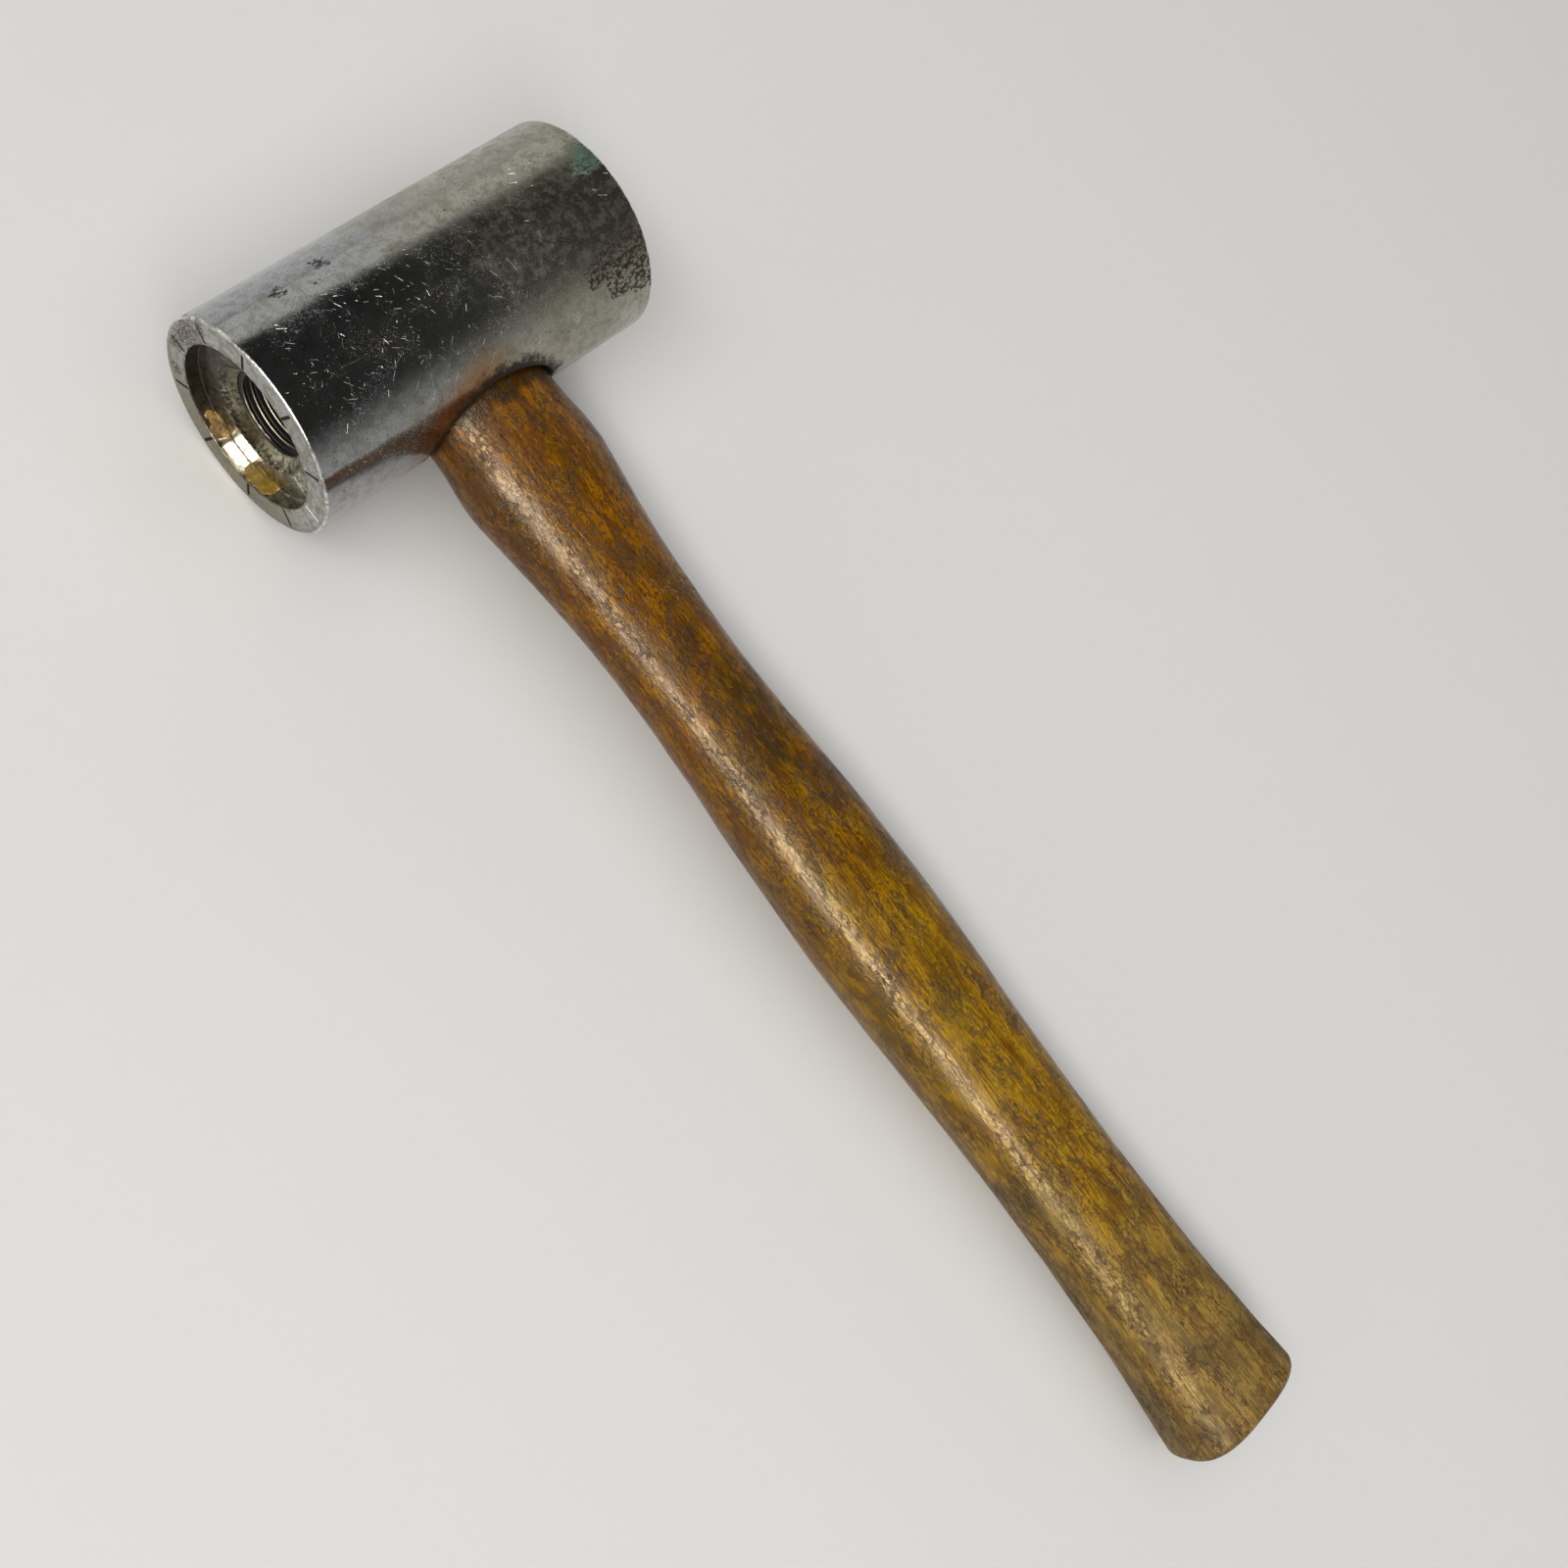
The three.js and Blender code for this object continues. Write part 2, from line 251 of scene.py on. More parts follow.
# ----------------------------------------------------------------- nodes ----
class Tree:
    def __init__(self, name):
        self.mat = bpy.data.materials.new(name)
        self.mat.use_nodes = True
        self.t = self.mat.node_tree
        self.t.nodes.clear()
        self.out = self.t.nodes.new("ShaderNodeOutputMaterial")
        self.bsdf = self.t.nodes.new("ShaderNodeBsdfPrincipled")
        self.t.links.new(self.bsdf.outputs[0], self.out.inputs[0])

    def new(self, kind, **kw):
        n = self.t.nodes.new(kind)
        for k, v in kw.items():
            setattr(n, k, v)
        return n

    def put(self, sock, val):
        if hasattr(val, "is_linked") or isinstance(val, bpy.types.NodeSocket):
            self.t.links.new(val, sock)
        elif val is not None:
            sock.default_value = val

    def math(self, op, a, b=None, c=None, clamp=False):
        n = self.new("ShaderNodeMath", operation=op, use_clamp=clamp)
        self.put(n.inputs[0], a)
        if b is not None:
            self.put(n.inputs[1], b)
        if c is not None:
            self.put(n.inputs[2], c)
        return n.outputs[0]

    def vmath(self, op, a, b=None, c=None):
        n = self.new("ShaderNodeVectorMath", operation=op)
        self.put(n.inputs[0], a)
        if b is not None:
            self.put(n.inputs[1], b)
        if c is not None:
            self.put(n.inputs[2], c)
        return n.outputs[1] if op in ("LENGTH", "DISTANCE", "DOT_PRODUCT") else n.outputs[0]

    def step(self, x, a, b, lo=0.0, hi=1.0):
        """Smooth map of x from a..b onto lo..hi."""
        n = self.new("ShaderNodeMapRange", interpolation_type="SMOOTHSTEP")
        self.put(n.inputs[0], x)
        n.inputs[1].default_value = a
        n.inputs[2].default_value = b
        n.inputs[3].default_value = lo
        n.inputs[4].default_value = hi
        return n.outputs[0]

    def ramp(self, x, stops, mode="LINEAR"):
        n = self.new("ShaderNodeValToRGB")
        n.color_ramp.interpolation = mode
        el = n.color_ramp.elements
        while len(el) < len(stops):
            el.new(0.5)
        for e, (p, c) in zip(el, stops):
            e.position = p
            e.color = (*c, 1) if len(c) == 3 else c
        self.put(n.inputs[0], x)
        return n.outputs[0]

    def mix(self, f, a, b, mode="MIX"):
        n = self.new("ShaderNodeMix", data_type="RGBA", blend_type=mode)
        self.put(n.inputs[0], f)
        self.put(n.inputs[6], (*a, 1) if isinstance(a, tuple) and len(a) == 3 else a)
        self.put(n.inputs[7], (*b, 1) if isinstance(b, tuple) and len(b) == 3 else b)
        return n.outputs[2]

    def lerp(self, f, a, b):
        n = self.new("ShaderNodeMix", data_type="FLOAT")
        self.put(n.inputs[0], f)
        self.put(n.inputs[2], a)
        self.put(n.inputs[3], b)
        return n.outputs[0]

    def noise(self, vec, scale=1.0, detail=3.0, rough=0.55, distort=0.0, color=False):
        n = self.new("ShaderNodeTexNoise")
        self.put(n.inputs["Vector"], vec)
        n.inputs["Scale"].default_value = scale
        n.inputs["Detail"].default_value = detail
        n.inputs["Roughness"].default_value = rough
        n.inputs["Distortion"].default_value = distort
        return n.outputs[1] if color else n.outputs[0]

    def voronoi(self, vec, scale=1.0, feature="F1", rand=1.0):
        n = self.new("ShaderNodeTexVoronoi", feature=feature)
        self.put(n.inputs["Vector"], vec)
        n.inputs["Scale"].default_value = scale
        n.inputs["Randomness"].default_value = rand
        return n

    def scale(self, vec, s):
        return self.vmath("MULTIPLY", vec, s)

    def head_coords(self):
        """Position in the head frame, in millimetres."""
        co = self.new("ShaderNodeTexCoord")
        mp = self.new("ShaderNodeMapping", vector_type="POINT")
        self.t.links.new(co.outputs["Object"], mp.inputs[0])
        back = ROT.T @ (-1000.0 * np.array(CENTRE))
        mp.inputs[1].default_value = tuple(back)
        mp.inputs[2].default_value = (-LIE, 0, 0)
        mp.inputs[3].default_value = (1000, 1000, 1000)
        return mp.outputs[0]

    def split(self, v):
        n = self.new("ShaderNodeSeparateXYZ")
        self.put(n.inputs[0], v)
        return n.outputs[0], n.outputs[1], n.outputs[2]

    def join(self, x, y, z):
        n = self.new("ShaderNodeCombineXYZ")
        self.put(n.inputs[0], x)
        self.put(n.inputs[1], y)
        self.put(n.inputs[2], z)
        return n.outputs[0]

    def bump(self, height, dist_mm, strength=1.0, normal=None):
        n = self.new("ShaderNodeBump")
        n.inputs["Strength"].default_value = strength
        n.inputs["Distance"].default_value = dist_mm / 1000.0
        self.put(n.inputs["Height"], height)
        if normal is not None:
            self.put(n.inputs["Normal"], normal)
        return n.outputs[0]

    def blob(self, P, centre, radius, soft=0.35, warp=None):
        """1 inside a ragged blob round a point in the head frame."""
        v = P if warp is None else self.vmath("ADD", P, warp)
        d = self.vmath("DISTANCE", v, tuple(centre))
        return self.step(d, radius * (1 + soft), radius * (1 - soft))

    def set(self, **kw):
        for k, v in kw.items():
            self.put(self.bsdf.inputs[k.replace("_", " ")], v)


def srgb(r, g, b):
    return tuple(
        (c / 255 / 12.92) if c / 255 <= 0.04045 else ((c / 255 + 0.055) / 1.055) ** 2.4
        for c in (r, g, b)
    )


# ------------------------------------------------------------ materials ----
def strokes(T, u, v, cell, half_len, half_w, mean, spread, keep, seed):
    """Scattered straight strokes, one per cell at most; 1 on a stroke."""
    uu = T.math("DIVIDE", T.math("ADD", u, seed * 17.3), cell)
    vv = T.math("DIVIDE", T.math("ADD", v, seed * 9.7), cell)
    p = T.join(uu, vv, 0.0)
    vo = T.new("ShaderNodeTexVoronoi", feature="F1", voronoi_dimensions="2D")
    T.put(vo.inputs["Vector"], p)
    vo.inputs["Scale"].default_value = 1.0
    rel = T.vmath("SUBTRACT", p, vo.outputs["Position"])
    rx, ry, _ = T.split(rel)
    c1, c2, c3 = T.split(vo.outputs["Color"])
    ang = T.math("MULTIPLY_ADD", T.math("SUBTRACT", c1, 0.5), 2.0 * spread, mean)
    cs, sn = T.math("COSINE", ang), T.math("SINE", ang)
    a = T.math("ADD", T.math("MULTIPLY", rx, cs), T.math("MULTIPLY", ry, sn))
    b = T.math("SUBTRACT", T.math("MULTIPLY", ry, cs), T.math("MULTIPLY", rx, sn))
    a = T.math("MULTIPLY", T.math("ABSOLUTE", a), cell)
    b = T.math("MULTIPLY", T.math("ABSOLUTE", b), cell)
    reach = T.math("MULTIPLY_ADD", T.math("MULTIPLY", c2, c2), half_len * 1.5, half_len * 0.15)
    tip = T.step(T.math("SUBTRACT", a, reach), 0.0, -half_len * 0.5)
    line = T.step(b, half_w * 1.5, half_w * 0.4)
    power = T.step(c3, keep, 1.12)
    return T.math("MULTIPLY", T.math("MULTIPLY", line, tip), power)


def plated_outer():
    T = Tree("worn_plating")
    P = T.head_coords()
    x, y, z = T.split(P)
    psi = T.math("ARCTAN2", y, z)
    s = T.math("MULTIPLY", psi, R)
    r = T.math("SQRT", T.math("ADD", T.math("MULTIPLY", y, y), T.math("MULTIPLY", z, z)))
    warp = T.vmath("MULTIPLY_ADD", T.noise(P, 0.35, 3, color=True), (6, 6, 6), (-3, -3, -3))

    # how worn the finish is: mirror-like near -X, hazy and yellowed towards +X
    big = T.noise(P, 0.045, 3, 0.6)
    far = T.step(T.math("ADD", x, T.math("MULTIPLY", T.math("SUBTRACT", big, 0.5), 60.0)), -30.0, 26.0)
    mottle = T.noise(P, 0.42, 5, 0.70)
    speck = T.noise(P, 2.6, 3, 0.72)

    near_c = srgb(172, 175, 180)
    far_c = srgb(172, 172, 160)
    col = T.mix(far, near_c, far_c)
    col = T.mix(T.step(mottle, 0.46, 0.60, 0.0, 0.45), col, srgb(120, 119, 106))
    col = T.mix(T.step(big, 0.50, 0.66, 0.0, 0.35), col, srgb(116, 114, 100))
    col = T.mix(T.step(speck, 0.545, 0.62, 0.0, 0.60), col, srgb(84, 82, 70))

    # scratches: fine rubs in drifts, thickest over the near half
    drift = T.noise(P, 0.13, 2, 0.6, color=True)
    d1, d2, d3 = T.split(drift)
    rub1 = T.math("MULTIPLY", strokes(T, x, s, 1.8, 0.95, 0.045, -0.95, 0.42, -0.15, 3.0), T.step(d1, 0.44, 0.54))
    rub3 = T.math("MULTIPLY", strokes(T, x, s, 2.1, 1.1, 0.042, 1.05, 0.25, -0.10, 5.0), T.step(d2, 0.44, 0.54))
    fine = T.math("MAXIMUM", rub1, rub3)
    rub4 = T.math("MULTIPLY", strokes(T, x, s, 1.2, 0.55, 0.045, 0.2, 3.14, -0.10, 6.0), T.step(d3, 0.46, 0.54))
    fine = T.math("MAXIMUM", fine, rub4)
    hair = strokes(T, x, s, 6.5, 3.6, 0.038, 0.2, 1.6, 0.15, 9.0)
    fine = T.math("MAXIMUM", fine, hair)
    spark = T.math("MULTIPLY", T.step(T.noise(P, 3.2, 2, 0.7), 0.54, 0.68), T.step(d2, 0.42, 0.58, 0.12, 0.50))
    fine = T.math("MAXIMUM", fine, spark)
    fine = T.math("MULTIPLY", fine, T.math("MULTIPLY", T.step(x, 34.0, -14.0, 0.30, 1.0), T.step(x, -45.0, -36.0, 0.15, 1.0)))
    dash = T.math("MULTIPLY", strokes(T, x, s, 2.1, 0.85, 0.065, -0.52, 0.12, 0.20, 8.0), T.step(d3, 0.53, 0.60))
    gouge = strokes(T, x, s, 10.0, 1.8, 0.13, 1.1, 0.5, 0.72, 7.0)
    deep = T.math("MAXIMUM", gouge, dash)

    # pits: a sparse scatter of small round holes, thicker at the far end
    vo = T.voronoi(P, 0.62)
    pick = T.split(vo.outputs["Color"])[0]
    rad = T.math("MULTIPLY", T.step(pick, 0.62, 1.0), 0.19)
    pit = T.step(T.math("SUBTRACT", vo.outputs["Distance"], rad), 0.05, -0.04)
    pit = T.math("MULTIPLY", pit, T.math("GREATER_THAN", pick, 0.66))
    pit = T.math("MULTIPLY", pit, T.math("MULTIPLY", T.step(d3, 0.44, 0.56), T.step(mottle, 0.40, 0.52)))
    vo2 = T.voronoi(P, 1.9)
    pick2 = T.split(vo2.outputs["Color"])[1]
    pit2 = T.math("MULTIPLY", T.step(vo2.outputs["Distance"], 0.26, 0.10), T.math("GREATER_THAN", pick2, 0.72))
    pit2 = T.math("MULTIPLY", pit2, T.step(T.math("MULTIPLY_ADD", far, 0.10, T.noise(P, 0.10, 3, 0.6)), 0.53, 0.62))
    pits = T.math("MAXIMUM", pit, pit2)

    # rust where the plating has broken through
    rust_areas = [
        ((36.0, -14.6, 20.3), 4.6),
        ((41.5, -13.6, 21.0), 4.4),
        ((31.0, -14.6, 20.3), 3.2),
        ((45.0, -16.0, 19.2), 4.2),
        ((43.5, -19.6, 15.5), 4.0),
        ((37.0, -19.0, 16.2), 2.6),
        ((24.0, -7.7, 23.8), 1.6),
        ((-31.5, 15.7, 19.4), 1.8),
        ((-19.5, 16.5, 18.7), 1.6),
        ((-46.2, 21.5, 1.5), 3.6),
        ((-46.2, 20.0, 8.6), 3.2),
        ((-46.2, 22.0, -5.0), 2.4),
        ((46.0, 16.0, -17.0), 5.0),
        ((10.0, 16.0, -19.0), 5.0),
    ]
    rust = None
    for c, rr in rust_areas:
        b = T.blob(P, c, rr, 0.5, warp)
        rust = b if rust is None else T.math("MAXIMUM", rust, b)
    grain = T.noise(T.scale(P, (0.9, 1.2, 1.2)), 1.0, 4, 0.78)
    rust = T.step(T.math("MULTIPLY", rust, T.step(grain, 0.45, 0.53)), 0.34, 0.50)
    rust_c = T.ramp(T.noise(P, 2.1, 3, 0.7), [(0.42, srgb(8, 5, 4)), (0.52, srgb(34, 18, 12)), (0.60, srgb(74, 46, 34))])

    # a smear of green paint at the far edge
    gwarp = T.vmath("MULTIPLY_ADD", T.noise(T.scale(P, (0.35, 1.3, 1.3)), 0.6, 3, color=True), (8, 3, 3), (-4, -1.5, -1.5))
    g1 = T.blob(P, (44.2, 6.4, 24.2), 2.6, 0.4, gwarp)
    g2 = T.blob(P, (41.0, 5.2, 24.5), 1.9, 0.4, gwarp)
    g3 = T.blob(P, (46.2, 9.5, 23.1), 2.6, 0.4, gwarp)
    green = T.math("MAXIMUM", T.math("MAXIMUM", g1, g2), g3)
    green = T.math("MULTIPLY", green, T.step(T.noise(T.scale(P, (0.3, 1.7, 1.7)), 1.0, 4, 0.7), 0.44, 0.50))

    # dark grime and painted shade where the handle enters, with a painted reflection of the handle round the eye
    ex = T.math("DIVIDE", T.math("SUBTRACT", x, HX), 18.6)
    ez = T.math("DIVIDE", z, 14.6)
    em = T.math("SQRT", T.math("ADD", T.math("MULTIPLY", ex, ex), T.math("MULTIPLY", ez, ez)))
    em = T.math("ADD", em, T.math("MULTIPLY", T.math("SUBTRACT", T.noise(P, 0.5, 4, 0.7), 0.5), 0.5))
    grime_and_shade = T.math("MULTIPLY", T.step(em, 1.14, 0.98), T.math("LESS_THAN", y, 0.0))
    # painted reflection of the handle: the plating round the eye is tinted warm brown on the handle side
    painted_handle_reflection = T.math("MULTIPLY", T.math("MULTIPLY", T.step(em, 1.55, 1.08, 0.0, 0.8), T.step(x, 8.0, -4.0, 0.15, 1.0)), T.math("LESS_THAN", y, 0.0))

    col = T.mix(T.math("MULTIPLY", fine, 0.55), col, srgb(212, 214, 216))
    col = T.mix(T.math("MULTIPLY", deep, 0.35), col, srgb(225, 223, 214))
    col = T.mix(painted_handle_reflection, col, srgb(152, 104, 34))
    col = T.mix(T.math("MULTIPLY", pits, 0.88), col, srgb(34, 28, 22))
    # painted highlight: the bevels at the rim edges are painted pale
    bevel_highlight = T.math("MULTIPLY", T.step(T.math("ABSOLUTE", x), HALF - 0.85, HALF - 0.5), T.step(r, 24.0, 24.5))
    col = T.mix(T.math("MULTIPLY", bevel_highlight, 0.2), col, srgb(206, 206, 200))
    col = T.mix(T.math("MULTIPLY", rust, 0.92), col, rust_c)
    col = T.mix(T.math("MULTIPLY", green, 0.9), col, T.ramp(T.noise(P, 1.4, 2), [(0.35, srgb(10, 52, 44)), (0.7, srgb(60, 118, 104))]))
    # grime and painted shade: a dark band painted round the eye mouth on the handle side
    col = T.mix(T.math("MULTIPLY", grime_and_shade, 0.95), col, srgb(26, 18, 4))

    rough = T.lerp(far, 0.085, 0.225)
    rough = T.math("ADD", rough, T.math("MULTIPLY", T.step(mottle, 0.45, 0.60, 0.0, 0.12), T.math("MULTIPLY_ADD", far, 0.8, 0.25)))
    rough = T.math("ADD", rough, T.step(big, 0.48, 0.70, 0.0, 0.06))
    rough = T.math("ADD", rough, T.math("MULTIPLY", T.step(em, 2.9, 1.3, 0.0, 0.05), T.math("LESS_THAN", y, 0.0)))
    rough = T.math("ADD", rough, T.math("ADD", T.math("MULTIPLY", fine, 0.33), T.math("MULTIPLY", deep, 0.34)))
    rough = T.math("MAXIMUM", rough, T.math("MULTIPLY", pits, 0.6))
    rough = T.math("MAXIMUM", rough, T.math("MULTIPLY", rust, 0.6))
    rough = T.math("MAXIMUM", rough, T.math("MULTIPLY", green, 0.45))
    rough = T.math("MAXIMUM", rough, T.math("MULTIPLY", grime_and_shade, 0.55), clamp=True)
    metal = T.math("SUBTRACT", 1.0, T.math("MAXIMUM", T.math("MAXIMUM", T.math("MULTIPLY", rust, 0.1), T.math("MULTIPLY", green, 0.9)), T.math("MULTIPLY", grime_and_shade, 0.4)))

    h = T.math("MULTIPLY", T.noise(P, 0.14, 2, 0.5), 2.0)
    h = T.math("ADD", h, T.math("MULTIPLY", mottle, T.lerp(far, 0.08, 0.36)))
    h = T.math("ADD", h, T.math("MULTIPLY", speck, T.lerp(far, 0.015, 0.07)))
    h = T.math("SUBTRACT", h, T.math("MULTIPLY", fine, 0.42))
    h = T.math("SUBTRACT", h, T.math("MULTIPLY", deep, 1.6))
    h = T.math("SUBTRACT", h, T.math("MULTIPLY", pits, 0.5))
    h = T.math("ADD", h, T.math("MULTIPLY", rust, 0.10))
    h = T.math("ADD", h, T.math("MULTIPLY", green, 0.10))
    h = T.math("ADD", h, T.math("MULTIPLY", grime_and_shade, T.noise(P, 1.5, 3)))
    T.set(Base_Color=col, Roughness=rough, Metallic=metal, Normal=T.bump(h, 0.05))
    return T.mat


def plated_rim():
    """Ground ring at each end of the barrel."""
    T = Tree("ground_rim")
    P = T.head_coords()
    x, y, z = T.split(P)
    warp = T.vmath("MULTIPLY_ADD", T.noise(P, 0.5, 3, color=True), (4, 4, 4), (-2, -2, -2))
    r = T.math("SQRT", T.math("ADD", T.math("MULTIPLY", y, y), T.math("MULTIPLY", z, z)))
    psi = T.math("ARCTAN2", y, z)
    rings = T.noise(T.join(T.math("MULTIPLY", r, 5.0), T.math("MULTIPLY", psi, 1.2), x), 1.0, 3, 0.6)
    mott = T.noise(P, 0.5, 5, 0.68)
    fleck = T.noise(P, 2.4, 3, 0.7)
    nick = strokes(T, y, z, 2.2, 0.8, 0.05, 0.0, 3.14, 0.55, 11.0)
    # cleaner towards +Y, brown and dull low down where resin has run
    low = T.step(T.math("ADD", z, T.math("MULTIPLY", T.math("SUBTRACT", mott, 0.5), 20.0)), -4.0, -20.0)
    col = T.mix(low, srgb(176, 176, 172), srgb(140, 130, 106))
    col = T.mix(T.step(mott, 0.46, 0.56, 0.0, 0.60), col, srgb(116, 114, 104))
    col = T.mix(T.step(rings, 0.50, 0.60, 0.0, 0.50), col, srgb(92, 90, 80))
    col = T.mix(T.step(fleck, 0.55, 0.62, 0.0, 0.5), col, srgb(82, 78, 66))
    col = T.mix(T.math("MULTIPLY", nick, 0.4), col, srgb(222, 220, 214))
    depth = T.math("SUBTRACT", HALF, T.math("ABSOLUTE", x))
    on_face = T.math("MULTIPLY", T.step(r, 19.15, 19.3), T.step(r, 24.3, 24.1))
    score = T.math("MULTIPLY", T.step(depth, 0.01, 0.07), on_face)
    # painted highlight: one score line, at the handle side, is painted near white as a glint
    score_glint = T.math("MULTIPLY", T.step(T.math("ABSOLUTE", T.math("ADD", z, -0.45)), 0.9, 0.6), T.math("LESS_THAN", y, -18.0))
    score_glint = T.math("MULTIPLY", T.math("MULTIPLY", score_glint, T.math("LESS_THAN", x, 0.0)), score)
    score = T.math("SUBTRACT", score, score_glint)
    col = T.mix(T.math("MULTIPLY", score, 0.97), col, srgb(14, 12, 9))
    col = T.mix(score_glint, col, srgb(250, 250, 246))
    rust = None
    for c, rr in (((-HALF, 20.6, 8.0), 3.4), ((-HALF, 21.4, 3.6), 3.0), ((-HALF, 21.9, -1.0), 2.2), ((-HALF, 18.6, 12.6), 2.0), ((-HALF, 19.6, -9.6), 1.8), ((HALF, -20.0, 6.0), 3.5), ((HALF, 3.0, -21.0), 4.0)):
        b = T.blob(P, c, rr, 0.5, warp)
        rust = b if rust is None else T.math("MAXIMUM", rust, b)
    grain = T.noise(P, 1.5, 4, 0.78)
    rust = T.math("MULTIPLY", rust, T.step(grain, 0.475, 0.51))
    inner = T.math("MULTIPLY", T.step(r, 19.9, 19.25), T.step(T.noise(P, 0.8, 4, 0.7), 0.46, 0.53))
    vo = T.voronoi(P, 0.9)
    pick = T.split(vo.outputs["Color"])[0]
    pit = T.math("MULTIPLY", T.step(vo.outputs["Distance"], 0.20, 0.08), T.math("GREATER_THAN", pick, 0.80))
    col = T.mix(T.math("MULTIPLY", T.math("MAXIMUM", pit, T.math("MULTIPLY", inner, 0.8)), 0.8), col, srgb(44, 38, 30))
    col = T.mix(T.math("MULTIPLY", rust, 0.88), col, T.ramp(T.noise(P, 2.2, 3), [(0.3, srgb(22, 17, 12)), (0.7, srgb(86, 72, 56))]))
    # painted highlight: a pale line painted along the rim's outer bevel
    bevel_highlight = T.math("MULTIPLY", T.step(r, 24.50, 24.66), T.step(T.noise(P, 0.7, 3), 0.42, 0.56, 0.15, 1.0))
    col = T.mix(T.math("MULTIPLY", bevel_highlight, 0.8), col, srgb(232, 232, 228))
    rough = T.step(mott, 0.35, 0.7, 0.20, 0.34)
    rough = T.math("ADD", rough, T.math("MULTIPLY", nick, 0.2))
    rough = T.math("MAXIMUM", rough, T.math("MULTIPLY", T.math("MAXIMUM", rust, score), 0.75), clamp=True)
    metal = T.math("SUBTRACT", 1.0, T.math("MAXIMUM", T.math("MULTIPLY", rust, 0.2), T.math("MULTIPLY", score, 0.4)))
    h = T.math("ADD", T.math("MULTIPLY", rings, 0.22), T.math("MULTIPLY", mott, 0.4))
    h = T.math("SUBTRACT", h, T.math("MULTIPLY", T.math("MAXIMUM", pit, nick), 0.9))
    h = T.math("SUBTRACT", h, T.math("MULTIPLY", rust, 0.2))
    T.set(Base_Color=col, Roughness=rough, Metallic=metal, Normal=T.bump(h, 0.03))
    return T.mat


